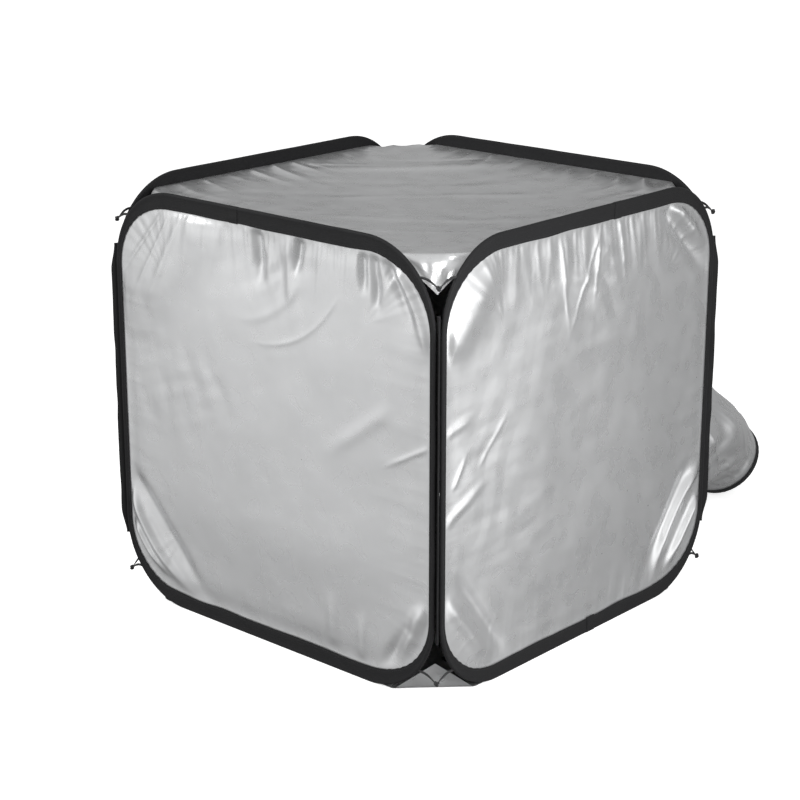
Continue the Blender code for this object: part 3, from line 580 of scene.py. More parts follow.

# %% [markdown]
# ## The two plain walls
# The front and the right wall have no opening, so all of their character is in their folds. The creases
# that give each wall its look are listed, in metres along the wall and up it, with a width and a
# height. A negative height is a valley. The rest comes from the seeded functions.

# %% Creases of the front and right wall
FRONT_FOLDS = [
    ((-0.120, 0.676), (-0.335, 0.461), 0.050, 0.0045),
    ((-0.222, 0.676), (-0.338, 0.545), 0.006, -0.0016, 0.0, True),
    ((-0.205, 0.672), (-0.300, 0.520), 0.007, 0.0013, 0.0, True),
    ((-0.180, 0.670), (-0.262, 0.515), 0.008, 0.0011),
    ((-0.017, 0.675), (-0.003, 0.585), 0.010, -0.0050),
    ((0.074, 0.675), (0.068, 0.615), 0.009, -0.0045),
    ((0.200, 0.670), (0.206, 0.610), 0.007, -0.0035),
    ((0.222, 0.672), (0.233, 0.585), 0.008, -0.0040),
    ((0.243, 0.670), (0.322, 0.560), 0.010, -0.0050),
    ((0.262, 0.668), (0.338, 0.530), 0.010, 0.0050),
    ((0.283, 0.662), (0.340, 0.590), 0.008, -0.0040),
    ((0.154, 0.593), (-0.023, 0.498), 0.007, 0.0010, 0.028, True),
    ((0.074, 0.596), (-0.057, 0.527), 0.008, 0.0008, 0.016),
    ((-0.327, 0.180), (-0.193, 0.037), 0.010, 0.0060, -0.014),
    ((-0.318, 0.130), (-0.235, 0.050), 0.007, 0.0060, -0.008),
    ((-0.322, 0.215), (-0.150, 0.040), 0.014, -0.0040),
    ((0.335, 0.405), (0.244, 0.355), 0.006, 0.0014, 0.0, True),
    ((0.256, 0.444), (0.132, 0.351), 0.012, 0.0010),
    ((0.138, 0.040), (0.139, 0.130), 0.012, 0.0016),
    ((0.323, 0.150), (0.270, 0.060), 0.012, 0.0040),
    ((0.300, 0.120), (0.240, 0.035), 0.010, -0.0030),
    ((0.195, 0.035), (0.200, 0.110), 0.010, 0.0014),
]
RIGHT_FOLDS = [
    ((-0.330, 0.540), (-0.215, 0.672), 0.030, 0.0080),
    ((-0.071, 0.668), (-0.060, 0.523), 0.005, 0.0017, 0.0, True),
    ((0.027, 0.665), (0.006, 0.557), 0.005, 0.0021, 0.0, True),
    ((0.026, 0.663), (-0.055, 0.522), 0.005, 0.0021, 0.0, True),
    ((0.077, 0.672), (0.088, 0.573), 0.005, 0.0016, 0.0, True),
    ((0.217, 0.675), (0.310, 0.590), 0.012, 0.0060),
    ((0.190, 0.670), (0.325, 0.540), 0.014, -0.0040),
    ((-0.332, 0.420), (-0.270, 0.440), 0.007, 0.0016),
    ((-0.315, 0.335), (-0.288, 0.385), 0.006, 0.0018, 0.0, True),
    ((-0.336, 0.280), (-0.246, 0.335), 0.008, 0.0020),
    ((-0.260, 0.360), (-0.200, 0.430), 0.006, 0.0012, 0.0, True),
    ((0.322, 0.200), (0.205, 0.040), 0.010, 0.0060, -0.020),
    ((0.325, 0.150), (0.240, 0.045), 0.008, 0.0060),
    ((0.300, 0.220), (0.170, 0.050), 0.014, -0.0030),
    ((-0.325, 0.160), (-0.225, 0.035), 0.012, 0.0040),
    ((-0.300, 0.190), (-0.190, 0.040), 0.010, -0.0030),
]
print(len(FRONT_FOLDS), "creases on the front wall and", len(RIGHT_FOLDS), "on the right wall")

# %% Front and right wall
CUT_EDGE = CHANNEL + CLEARANCE     # the cloth ends this far in from the wire
BELLY = 0.012                      # how far a plain wall swells out in its middle
FINE, COARSE = 0.0030, 0.0038      # spacing of the grids of cloth


def hoop_inside(u, v):
    """Above zero where a hoop has cloth."""
    return hoop_depth(u, v)[0] - CUT_EDGE


def make_plain_wall(wall, seed, folds, spots):
    u, v, faces = cloth_grid((-WIRE_HALF, WIRE_LOW), (WIRE_HALF, WIRE_HIGH), FINE, hoop_inside)
    t = wall_relief(u, v, seed, folds, spots, BELLY)
    piece = new_piece(wall + "_cloth", on_wall(wall, u, v, t), faces, FINISHES["silver_cloth"])
    settle(piece, wall, "silver_cloth", wall + "_wall")
    low, high = (round(float(value) * 1000, 1) for value in (t.min(), t.max()))
    print(piece.name, len(faces), "faces, relief", low, "to", high, "mm")
    return piece


make_plain_wall("front", 11, FRONT_FOLDS, [(0.022, 0.631, 0.07, 1.5)])
make_plain_wall("right", 47, RIGHT_FOLDS, [(0.000, 0.610, 0.10, 1.8), (-0.26, 0.36, 0.10, 1.0)])

# %% [markdown]
# ## The walls with openings
# The back wall has a round hole for the sleeve and the left wall a doorway. The same grid is trimmed by a
# second distance, so the cloth ends under the collar or under the zip tapes, and the relief dies out there.

# %% Openings in the back and left wall
COLLAR_LOW, COLLAR_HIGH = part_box("sleeve_collar")
COLLAR_WIDTH = 0.011
SLEEVE_U = -(COLLAR_LOW[0] + COLLAR_HIGH[0]) / 2
SLEEVE_V = (COLLAR_LOW[2] + COLLAR_HIGH[2]) / 2
COLLAR_OUTER = (COLLAR_HIGH[0] - COLLAR_LOW[0]) / 2
HOLE_RADIUS = COLLAR_OUTER - COLLAR_WIDTH
DOOR_HALF = abs(JOINTS["front_pull_swing"]["pos_m"][1])
DOOR_TOP = JOINTS["door_lift"]["pos_m"][2]
DOOR_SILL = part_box("door_flap")[0][2]
ZIP_GAP = 0.006
ZIP_TAPE = 0.013
ZIP_COIL = 0.0018
DOOR_TAPE = 0.018


def sleeve_distance(u, v):
    return np.hypot(u - SLEEVE_U, v - SLEEVE_V) - HOLE_RADIUS


def door_distance(u, v):
    across = np.abs(u) - (DOOR_HALF + ZIP_GAP / 2 + CLEARANCE)
    rise = np.abs(v - (DOOR_TOP + DOOR_SILL) / 2) - (DOOR_TOP - DOOR_SILL) / 2 - CLEARANCE
    beyond = np.hypot(np.maximum(across, 0), np.maximum(rise, 0))
    return beyond + np.minimum(np.maximum(across, rise), 0)


# %% Back and left wall
BACK_SWELL, LEFT_SWELL = 0.75 * BELLY, 0.35 * BELLY
BACK_FOLDS = [
    ((-0.150, 0.676), (-0.335, 0.500), 0.020, 0.0060),
    ((0.170, 0.674), (0.332, 0.530), 0.016, 0.0055),
    ((0.325, 0.170), (0.200, 0.040), 0.012, 0.0050, -0.014),
    ((-0.320, 0.150), (-0.240, 0.050), 0.010, 0.0045),
    ((0.150, 0.560), (-0.050, 0.480), 0.009, 0.0012, 0.020, True),
    ((0.310, 0.400), (0.190, 0.340), 0.008, 0.0014),
    ((-0.020, 0.400), (-0.110, 0.290), 0.008, 0.0014, 0.0, True),
]
LEFT_FOLDS = [
    ((-0.180, 0.676), (-0.335, 0.520), 0.016, 0.0055),
    ((0.180, 0.676), (0.335, 0.520), 0.016, 0.0050),
    ((0.322, 0.160), (0.240, 0.050), 0.010, 0.0050),
    ((-0.318, 0.140), (-0.245, 0.052), 0.010, 0.0050),
    ((-0.100, 0.672), (-0.110, 0.590), 0.008, -0.0025),
    ((0.060, 0.672), (0.066, 0.600), 0.008, -0.0025),
]


def make_open_wall(wall, seed, folds, belly, opening, tape):
    def inside(u, v):
        return np.minimum(hoop_inside(u, v), opening(u, v))

    u, v, faces = cloth_grid((-WIRE_HALF, WIRE_LOW), (WIRE_HALF, WIRE_HIGH), COARSE, inside)
    away = opening(u, v) - tape
    ripple = gathers(np.arctan2(v - MID_HEIGHT, u) * 0.25, away, 0.041, 0.030, 0.0016, seed + 70)
    t = (wall_relief(u, v, seed, folds, [], belly) + ripple) * ramp(away, 0, 0.045)
    piece = new_piece(wall + "_cloth", on_wall(wall, u, v, t), faces, FINISHES["silver_cloth"])
    settle(piece, wall, "silver_cloth", wall + "_wall")
    print(piece.name, len(faces), "faces")
    return piece


make_open_wall("back", 83, BACK_FOLDS, BACK_SWELL, sleeve_distance, COLLAR_WIDTH)
make_open_wall("left", 131, LEFT_FOLDS, LEFT_SWELL, door_distance, DOOR_TAPE)

# %% [markdown]
# ## Tape folded over the hoop
# The black edge is one long tape folded over the wire, so its section is a round nose with two flaps that
# hold the cloth between them. Carrying that section round the hoop gives the whole edge.

# %% Path and section of the tape
ARC_STEPS, SIDE_STEPS = 30, 56


def hoop_stations():
    """Points round the wire: u, v and the direction in which each faces out."""
    corners = [(FLAT_U, -FLAT_V, -90), (FLAT_U, FLAT_V, 0), (-FLAT_U, FLAT_V, 90), (-FLAT_U, -FLAT_V, 180)]
    u, v, angle = [], [], []
    for k, (centre_u, centre_v, first) in enumerate(corners):
        turn = np.radians(first + np.linspace(0, 90, ARC_STEPS + 1))
        u.append(centre_u + CORNER * np.cos(turn))
        v.append(MID_HEIGHT + centre_v + CORNER * np.sin(turn))
        angle.append(turn)
        next_u, next_v, _ = corners[(k + 1) % 4]
        last = turn[-1]
        share = np.linspace(0, 1, SIDE_STEPS + 1)[1:-1]
        u.append(centre_u + (next_u - centre_u) * share + CORNER * np.cos(last))
        v.append(MID_HEIGHT + centre_v + (next_v - centre_v) * share + CORNER * np.sin(last))
        angle.append(np.full(len(share), last))
    return np.concatenate(u), np.concatenate(v), np.concatenate(angle)


def path_length(u, v):
    return np.concatenate([[0], np.cumsum(np.hypot(np.diff(u), np.diff(v)))])


def tape_profile(reach, channel, puff, flap_puff):
    """Section of the folded tape as (s, t): s in from the core, t across. reach and puff are arrays."""
    one = np.ones_like(reach)
    nose = channel + TAPE + puff
    turns = np.radians(np.linspace(62, 298, 13))
    outside = [(reach, FLAP_HALF * one)]
    for share in (0.75, 0.5, 0.25):
        swell = flap_puff * math.sin(math.pi * share)
        outside.append((channel + (reach - channel) * share, FLAP_HALF + swell))
    outside += [(nose * math.cos(turn), nose * math.sin(turn)) for turn in turns]
    for share in (0.25, 0.5, 0.75):
        swell = flap_puff * math.sin(math.pi * share)
        outside.append((channel + (reach - channel) * share, -FLAP_HALF - swell))
    outside.append((reach, -FLAP_HALF * one))
    core = np.radians(np.linspace(60, 300, 7))
    inside = [(reach - TAPE / 4, SLOT_HALF * one), (channel * one, SLOT_HALF * one)]
    inside += [(channel * math.cos(turn) * one, channel * math.sin(turn) * one) for turn in core]
    inside += [(channel * one, -SLOT_HALF * one), (reach - TAPE / 4, -SLOT_HALF * one)]
    section = outside + inside[::-1]
    return np.stack([s for s, _ in section], axis=1), np.stack([t for _, t in section], axis=1)


print("a hoop has", len(hoop_stations()[0]), "stations")

# %% [markdown]
# ## Ripple, stitches and laps
# Sewing draws a tape up unevenly. Its face puffs up between the stitches, and its free edge wanders, most
# of all round the corners where it is gathered. A stitch is a spindle of six triangles: enough to catch the
# light, and light enough to have thousands. Where one length of tape ends, the next is laid over it.

# %% Tape round the hoops
WANDER = 0.055             # length of the slow waves of the tape's free edge
RUFFLE = 0.017             # pitch of the small ruffles round a corner
SIDE_PUFF = 0.35           # share of the swell that is left up the narrow sides


def tape_ripple(length, level, seed):
    """How far the tape's free edge and its swell change along the hoop."""
    corner = 4 * level * (1 - level)
    ruffle = 2 * math.pi * length / RUFFLE
    edge = 0.0014 * soft_noise(length / WANDER, length * 0, seed) * level
    edge = edge + 0.0007 * np.sin(ruffle) * corner
    swell = 0.00060 + 0.00050 * soft_noise(length / 0.030, length * 0 + 2.5, seed + 1)
    swell = swell + 0.00040 * corner * (0.5 + 0.5 * np.sin(ruffle + 1.0))
    return edge, swell * (SIDE_PUFF + (1 - SIDE_PUFF) * level)


def make_binding(wall, seed):
    """The tape of one hoop, and what its row of stitches needs to follow it."""
    u, v, angle = hoop_stations()
    length = path_length(u, v)
    level = np.sin(angle) ** 2
    edge, swell = tape_ripple(length, level, seed)
    reach = tape_reach(level) + edge
    puff = 0.00025 * (1 + soft_noise(length / 0.040, length * 0 + 5.5, seed + 2))
    low_edge = ramp(-np.sin(angle), 0.2, 0.9)
    s, t = tape_profile(reach, CHANNEL, puff * (1 - low_edge), swell)
    ring_u = u[:, None] - s * np.cos(angle)[:, None]
    ring_v = v[:, None] - s * np.sin(angle)[:, None]
    rings = on_wall(wall, ring_u, np.maximum(ring_v, 0.0), t)
    piece = loft(wall + "_edge_tape", rings, FINISHES["black_tape"], closed=True)
    settle(piece, wall, "black_tape", wall + "_binding")
    return piece, (u, v, angle, reach, swell)


STITCH_GAP = 0.0046
STITCH_SIZE = (0.0031, 0.0006, 0.00035)
STITCH_MARGIN = 0.0032     # from the row of stitches to the tape's free edge


def make_stitches(name, places, along, out, body, gap=STITCH_GAP, size=STITCH_SIZE):
    """A row of thread: one small spindle for each stitch, with its own direction along the seam."""
    distance = np.concatenate([[0], np.cumsum(np.linalg.norm(np.diff(places, axis=0), axis=1))])
    marks = np.arange(gap / 2, distance[-1], gap)

    def at(values):
        return np.stack([np.interp(marks, distance, values[:, k]) for k in range(3)], axis=1)

    centre, way, lift = at(places), at(along), at(out)
    side = np.cross(way, lift)
    corners = [-way * size[0] / 2, side * size[1] / 2, lift * size[2], -side * size[1] / 2, way * size[0] / 2]
    points = np.stack([centre + corner for corner in corners], axis=1).reshape(-1, 3)
    pattern = np.array([(0, 1, 2), (0, 2, 3), (4, 2, 1), (4, 3, 2), (0, 3, 1), (4, 1, 3)])
    faces = (pattern[None] + 5 * np.arange(len(marks))[:, None, None]).reshape(-1, 3)
    piece = new_piece(name, points, faces, FINISHES["stitch"], smooth=False)
    settle(piece, body, "stitch")
    return piece


def stitch_binding(wall, values):
    """Thread along the tape, a little inside its free edge, on the outer and the inner face."""
    u, v, angle, reach, swell = values
    s = reach - np.minimum(STITCH_MARGIN, reach * 0.35)
    share = (s - CHANNEL) / (reach - CHANNEL)
    rise = FLAP_HALF + swell * np.sin(math.pi * share) - 0.0001
    for side, label in ((1, "outer"), (-1, "inner")):
        places = on_wall(wall, u - s * np.cos(angle), v - s * np.sin(angle), side * rise)
        ahead = on_wall(wall, u - np.sin(angle), v + np.cos(angle), 0.0) - on_wall(wall, u, v, 0.0)
        outward = on_wall(wall, u, v, side * 1.0) - on_wall(wall, u, v, 0.0)
        make_stitches(f"{wall}_{label}_stitches", places, ahead, outward, wall)


for seed, wall in enumerate(HEADINGS):
    tape, tape_values = make_binding(wall, 200 + 10 * seed)
    stitch_binding(wall, tape_values)
    print(tape.name, len(tape.data.polygons), "faces")

# %% Lapped ends of tape
LAP_LENGTH = 0.019
LAP_RISE = 0.0006          # a lapped end stands this far out from the tape below it
LAP_SWELL = 0.0012
LAPS = [("front", "top", -0.075), ("right", "top", 0.060), ("right", "bottom", 0.020),
        ("back", "bottom", -0.060), ("left", "bottom", 0.110)]


def make_lap(wall, edge, start):
    """Where two lengths of tape meet, the end of one lies over the other."""
    u = np.linspace(start, start + LAP_LENGTH, 5)
    one = np.ones_like(u)
    s, t = tape_profile((EDGE_REACH + LAP_RISE) * one, CHANNEL, LAP_RISE * one, (LAP_SWELL + LAP_RISE) * one)
    ring_v = WIRE_HIGH - s if edge == "top" else np.maximum(WIRE_LOW + s, 0.0)
    rings = on_wall(wall, u[:, None] + 0 * s, ring_v, t)
    piece = loft(f"{wall}_{edge}_tape_lap", rings, FINISHES["black_tape"])
    return settle(piece, wall, "black_tape")


for values in LAPS:
    print(make_lap(*values).name)

# %% [markdown]
# ## Seams and ties at the upright edges
# Two neighbouring hoops are joined by a narrow tape that stands out along the cube's diagonal, and by a
# knotted tie near the top and the bottom. The seam turns by half of the fold. Its knots lie on the fold
# line itself, so each tie is split there: the arms ride on their walls and the knot rides on the seam.

# %% Seam tapes
SEAMS = {
    "front_right": (-45, ("front", 1), ("right", -1)), "back_right": (45, ("right", 1), ("back", -1)),
    "back_left": (135, ("back", 1), ("left", -1)), "front_left": (225, ("left", 1), ("front", -1)),
}
FLANGE_LOW, FLANGE_HIGH = 0.100, 0.600
FLANGE_WIDTH, FLANGE_TIP, FLANGE_TAPER = 0.013, 0.006, 0.045
BEAD = math.sqrt(2) * FOLD_TO_WALL - NOSE - CLEARANCE      # radius of the seam's round root


def corner_frame(heading):
    """The seam's fold line and its two level directions: out of the corner, and across."""
    out = np.array([math.cos(math.radians(heading)), math.sin(math.radians(heading)), 0.0])
    across = np.array([-out[1], out[0], 0.0])
    place = np.array([math.copysign(HINGE, out[0]), math.copysign(HINGE, out[1]), 0.0])
    return place, out, across


def make_flange(name, heading, seed):
    """The tape along an upright edge: a round root on the fold line, and a flat tongue that stands out."""
    place, out, across = corner_frame(heading)
    z = np.linspace(FLANGE_LOW, FLANGE_HIGH, 90)
    ends = np.minimum(ramp(z, FLANGE_LOW, FLANGE_LOW + FLANGE_TAPER),
                      1 - ramp(z, FLANGE_HIGH - FLANGE_TAPER, FLANGE_HIGH))
    width = FLANGE_TIP + (FLANGE_WIDTH - FLANGE_TIP) * ends + 0.0006 * soft_noise(z / 0.03, z * 0, seed)
    sway = 0.0013 * ends * soft_noise(z / 0.06, z * 0 + 3.5, seed + 1)
    root = math.asin(TAPE / BEAD)
    bead = [(BEAD * math.cos(turn), BEAD * math.sin(turn))
            for turn in np.linspace(root, 2 * math.pi - root, 11)]
    rings = []
    for level, reach, lean in zip(z, width, sway):
        ring = [(a, b, level) for a, b in bead]
        for share, side in ((0.5, -1), (0.94, -1), (1.0, -0.4), (1.0, 0.4), (0.94, 1), (0.5, 1)):
            ring.append((reach * share, side * TAPE + lean * share ** 2, level))
        rings.append([place + out * a + across * b + np.array([0, 0, c]) for a, b, c in ring])
    piece = loft(name + "_seam_tape", rings, FINISHES["black_tape"])
    return settle(piece, name + "_seam", "black_tape", name + "_flange")


print("seams at", ", ".join(SEAMS), "with a root", round(BEAD * 1000, 2), "mm in radius")

# %% [markdown]
# ## Knots and straps
# A tie is a flat strap from each hoop to one overhand knot. The middle line of such a knot is a trefoil, a
# curve with a short formula, so a tube along that curve gives a knot that really crosses over itself.

# %% Tubes along a path
UP = np.array([0.0, 0.0, 1.0])


def rings_round(path, forward, up, radii, sides, flatten=1.0):
    """Rings of a tube, square to its path, with a radius for each point."""
    forward = unit(forward)
    first = unit(np.cross(forward, up))
    second = np.cross(first, forward)
    turn = np.linspace(0, 2 * math.pi, sides, endpoint=False)
    reach = np.broadcast_to(radii, len(path))[:, None, None]
    return path[:, None] + reach * (first[:, None] * np.cos(turn)[None, :, None]
                                    + flatten * second[:, None] * np.sin(turn)[None, :, None])


def tube_rings(path, radii, sides=10, flatten=1.0, up=UP):
    """Rings of a tube along an open path."""
    return rings_round(path, np.gradient(path, axis=0), up, radii, sides, flatten)


print("tube helpers ready")

# %% Corner ties
TIE_ANGLE = math.radians(40)
TIE_SAG = 0.012
TIE_RADIUS = 0.0012
TIE_FLATNESS = 1.7         # a tie is a flat strap that stands on edge
TIE_BEND = 0.0035          # how far a strap bows between its hold and its knot
KNOT_LOOP, KNOT_DEPTH = 0.0012, 0.0018
KNOT_CORD = 0.0017
KNOT_LOBE = 1.6
HOLD_IN, HOLD_DOWN = 0.0012, 0.0008        # a strap's hold lies this far inside the tape's edge


def make_knot(name, middle, out, across, node, body):
    """An overhand knot: a trefoil of cord, pulled tight."""
    turn = np.linspace(0, 2 * math.pi, 72, endpoint=False)
    a = KNOT_LOOP * (np.sin(turn) + KNOT_LOBE * np.sin(2 * turn))
    b = KNOT_LOOP * (np.cos(turn) - KNOT_LOBE * np.cos(2 * turn))
    c = -KNOT_DEPTH * np.sin(3 * turn)
    path = middle + np.outer(a, across) + np.outer(b, UP) + np.outer(c, out)
    forward = np.roll(path, -1, axis=0) - np.roll(path, 1, axis=0)
    rings = rings_round(path, forward, out, KNOT_CORD, sides=8)
    piece = loft(name, rings, FINISHES["black_tie"], closed=True)
    settle(piece, body, "black_tie", node)
    return piece


def make_tie(name, heading, arms, top):
    """A knot on the fold line, and a strap from it to each of the two hoops."""
    place, out, across = corner_frame(heading)
    label = "top" if top else "bottom"
    reach = CORNER + NOSE + CLEARANCE / 2
    aside = FLAT_U + reach * math.cos(TIE_ANGLE)
    rise = FLAT_V + reach * math.sin(TIE_ANGLE)
    level = MID_HEIGHT + rise if top else MID_HEIGHT - rise
    knot = place + np.array([0, 0, level - TIE_SAG])
    make_knot(f"{name}_{label}_knot", knot, out, across, f"{name}_{label}_tie", name + "_seam")
    for wall, side in arms:
        hold = on_wall(wall, side * (aside - HOLD_IN), level - (HOLD_DOWN if top else -HOLD_DOWN), 0.0)
        share = np.linspace(0, 1, 18)[:, None]
        bend = TIE_BEND * UP * np.sin(math.pi * share)
        path = hold * (1 - share) + (knot + (hold - knot) * 0.10) * share + bend
        radii = TIE_RADIUS * (1 - 0.5 * ramp(share[:, 0], 0.55, 1.0))
        rings = tube_rings(path, radii, flatten=TIE_FLATNESS)
        arm = loft(f"{name}_{label}_tie_{wall}_arm", rings, FINISHES["black_tie"])
        settle(arm, wall, "black_tie")


for seed, (name, (heading, *arms)) in enumerate(SEAMS.items()):
    make_flange(name, heading, 300 + 10 * seed)
    for top in (True, False):
        make_tie(name, heading, arms, top)
    print(name, "seam with two ties")

# %% [markdown]
# ## Roof and floor
# The roof is a loose square sewn to the lower edge of the top tapes. It sags, and it carries long creases
# along one diagonal, gathers along its four edges, and a corner folded down inside each pair of hoops. The
# floor lies on the ground. When the walls fold, both crumple between them.

# %% Folded corners of a sheet
CORNER_FOLD = 0.086        # distance along an edge from the corner to its fold
CORNER_FOLD_ANGLE = math.radians(62)
PLEAT_HEIGHT = 0.0055


def fold_corners(x, y, z, edge, way, pleats):
    """Turn a square sheet's corners down (way -1) or up (1), with pleats square to each folded face."""
    past = np.maximum(np.abs(x) + np.abs(y) - (2 * edge - CORNER_FOLD), 0) / math.sqrt(2)
    tilt = np.where(past > 0, CORNER_FOLD_ANGLE, 0.0)
    shift = (pleats * np.sin(tilt) - past * (1 - np.cos(tilt))) / math.sqrt(2)
    z = z + way * (past * np.sin(tilt) - pleats * np.cos(tilt))
    return x + np.sign(x) * shift, y + np.sign(y) * shift, z


def corner_pleats(x, y, edge, seed):
    """Pleats that fan out from the tip of each folded corner."""
    past = (np.abs(x) + np.abs(y) - (2 * edge - CORNER_FOLD)) / math.sqrt(2)
    tip = CORNER_FOLD / math.sqrt(2) - past
    fan = (np.abs(x) - np.abs(y)) / (np.maximum(tip, 0) + 0.015)
    which = 7.3 * (np.sign(x) + 2 * np.sign(y))
    pleat = soft_noise(fan * 2.4 + which, past * 25, seed)
    pleat = pleat + 0.5 * soft_noise(fan * 5.1 + which, past * 40, seed + 1)
    held = ramp(edge - np.maximum(np.abs(x), np.abs(y)), 0.0, 0.016)
    return PLEAT_HEIGHT * pleat * ramp(past, 0.0, 0.015) * held


print("a corner folds", round(CORNER_FOLD / math.sqrt(2) * 1000), "mm from its tip")

# %% Roof
ROOF_EDGE = float(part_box("roof_panel")[1][0])
SEAM_SHARE = 0.85          # how far down the tape the roof is sewn on
ROOF_LEVEL = WIRE_HIGH - EDGE_REACH * SEAM_SHARE
ROOF_SAG = 0.020
ROOF_GRID = 0.0035
ROOF_CREASES = 16
DIAGONAL = math.pi / 4
# each pucker row is a pitch along the edge, a reach in from it and a height
PLAIN_PUCKERS = ((0.019, 0.020, 0.0016), (0.047, 0.055, 0.0050))
DRAWN_PUCKERS = ((0.019, 0.020, 0.0040), (0.056, 0.034, 0.0180))


def roof_creases(x, y, seed):
    """Long thin creases along the diagonal, each with its own place, length and height."""
    draw = np.random.default_rng(seed)
    total = np.zeros_like(x)
    for k in range(ROOF_CREASES):
        aside = draw.uniform(-0.40, 0.40)
        middle = draw.uniform(-0.16, 0.16)
        half = draw.uniform(0.08, 0.26)
        lean = draw.uniform(-0.10, 0.10)
        way = np.array([math.cos(DIAGONAL + lean), math.sin(DIAGONAL + lean)])
        centre = np.array([math.cos(DIAGONAL), math.sin(DIAGONAL)]) * middle
        centre = centre + np.array([math.sin(DIAGONAL), -math.cos(DIAGONAL)]) * aside
        width = draw.uniform(0.007, 0.020)
        height = draw.uniform(0.0008, 0.0024) * draw.choice([1, 1, -0.7])
        bow = draw.uniform(-0.02, 0.02)
        total += fold(x, y, centre - way * half, centre + way * half, width, height, bow, k % 3 == 0)
    return total


def make_roof():
    """A sagging sheet with puckered edges, creases along the diagonal and four folded corners."""
    x, y, faces = square_grid(ROOF_EDGE, ROOF_GRID)
    dome = (1 - (x / ROOF_EDGE) ** 2) * (1 - (y / ROOF_EDGE) ** 2)
    z = ROOF_LEVEL - ROOF_SAG * dome
    edges = ((ROOF_EDGE - x, y, PLAIN_PUCKERS, 401), (ROOF_EDGE + x, y, DRAWN_PUCKERS, 411),
             (ROOF_EDGE - y, x, DRAWN_PUCKERS, 431), (ROOF_EDGE + y, x, PLAIN_PUCKERS, 441))
    for inward, along, rows, seed in edges:
        for pitch, reach, size in rows:
            pucker = gathers(along, inward, pitch, reach, size, seed + round(1000 * pitch))
            z = z + pucker * dome ** 0.05
    free = np.sqrt(np.maximum(dome, 0))
    z = z + free * (roof_creases(x, y, 461) + 0.003 * soft_noise(x / 0.2, y / 0.2, 462))
    z = z + 0.6 * free * facets(x, y, 463, [])
    x, y, z = fold_corners(x, y, z, ROOF_EDGE, -1, corner_pleats(x, y, ROOF_EDGE, 465))
    piece = new_piece("roof_cloth", np.stack([x, y, z], axis=1), faces, FINISHES["silver_cloth"])
    settle(piece, "front", "silver_cloth", "roof_panel")
    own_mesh(piece)
    print(piece.name, len(faces), "faces, lowest", round(z.min(), 3), "m")


make_roof()


# %% Floor
FLOOR_EDGE = float(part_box("floor_panel")[1][0])
FLOOR_GRID = 0.007
FLOOR_LEVEL = 0.0005       # the cloth's middle, just off the ground
LUMP_HEIGHT = 0.0030


def make_floor():
    """A slack sheet on the ground, with soft lumps and its corners turned up."""
    x, y, faces = square_grid(FLOOR_EDGE, FLOOR_GRID)
    free = ramp(FLOOR_EDGE - np.maximum(np.abs(x), np.abs(y)), 0, 0.05)
    lumps = np.abs(soft_noise(x / 0.11, y / 0.11, 501)) ** 1.5 * LUMP_HEIGHT
    ridges = np.maximum(roof_creases(y, x, 502), 0) * 0.8
    z = FLOOR_LEVEL + free * (lumps + ridges + np.maximum(facets(x, y, 503, []), 0))
    x, y, z = fold_corners(x, y, z, FLOOR_EDGE, 1, corner_pleats(x, y, FLOOR_EDGE, 505))
    z = np.maximum(z, FLOOR_LEVEL)
    piece = new_piece("floor_cloth", np.stack([x, y, z], axis=1), faces, FINISHES["silver_cloth"])
    settle(piece, "front", "silver_cloth", "floor_panel")
    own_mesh(piece)
    print(piece.name, len(faces), "faces, lowest", round(z.min() * 1000, 2), "mm")


make_floor()

# %% [markdown]
# ## The sleeve
# The sleeve is a tapered tube of the same cloth, sewn to the back wall under a ring of tape. It droops under
# its own weight and ends in a hem gathered by an elastic. A loft along its drooping line has the right
# taper; soft lobes, twisting creases and gathers near the elastic make it cloth.

# %% Shape of the sleeve
SLEEVE_RADIUS = HOLE_RADIUS - CLOTH / 2 - CLEARANCE
SLEEVE_LENGTH = 0.385
MOUTH_RADIUS = 0.074
MEAN_RADIUS = 0.105        # turns an angle round the sleeve into a length
SLEEVE_DROOP = 0.112
CUFF_REACH = 0.011
ELASTIC_RADIUS = 0.0015
STRAIGHT = (CUFF_REACH + CHANNEL) / SLEEVE_LENGTH      # share of the sleeve inside the hem
SLEEVE_LOBES = 0.0045


def sleeve_rings(share, turn, lift):
    """Points of the sleeve: share along it, turn round it, lift out from its cloth. All arrays."""
    radius = SLEEVE_RADIUS + (MOUTH_RADIUS - SLEEVE_RADIUS) * share ** 1.5 + lift
    drop = SLEEVE_DROOP * share ** 3
    tilt = np.arctan(3 * SLEEVE_DROOP * share ** 2 / SLEEVE_LENGTH)
    lobes = SLEEVE_LOBES * np.sin(math.pi * np.minimum(share / 0.9, 1)) ** 0.7
    swell = radius + lobes * (np.sin(6 * turn + 5 * share) + 0.6 * np.sin(3 * turn - 9 * share))
    u = SLEEVE_U + swell * np.cos(turn)
    v = SLEEVE_V - drop + swell * np.sin(turn) * np.cos(tilt)
    t = share * SLEEVE_LENGTH - CLOTH / 2 + swell * np.sin(turn) * np.sin(tilt)
    return on_wall("back", u, v, t)


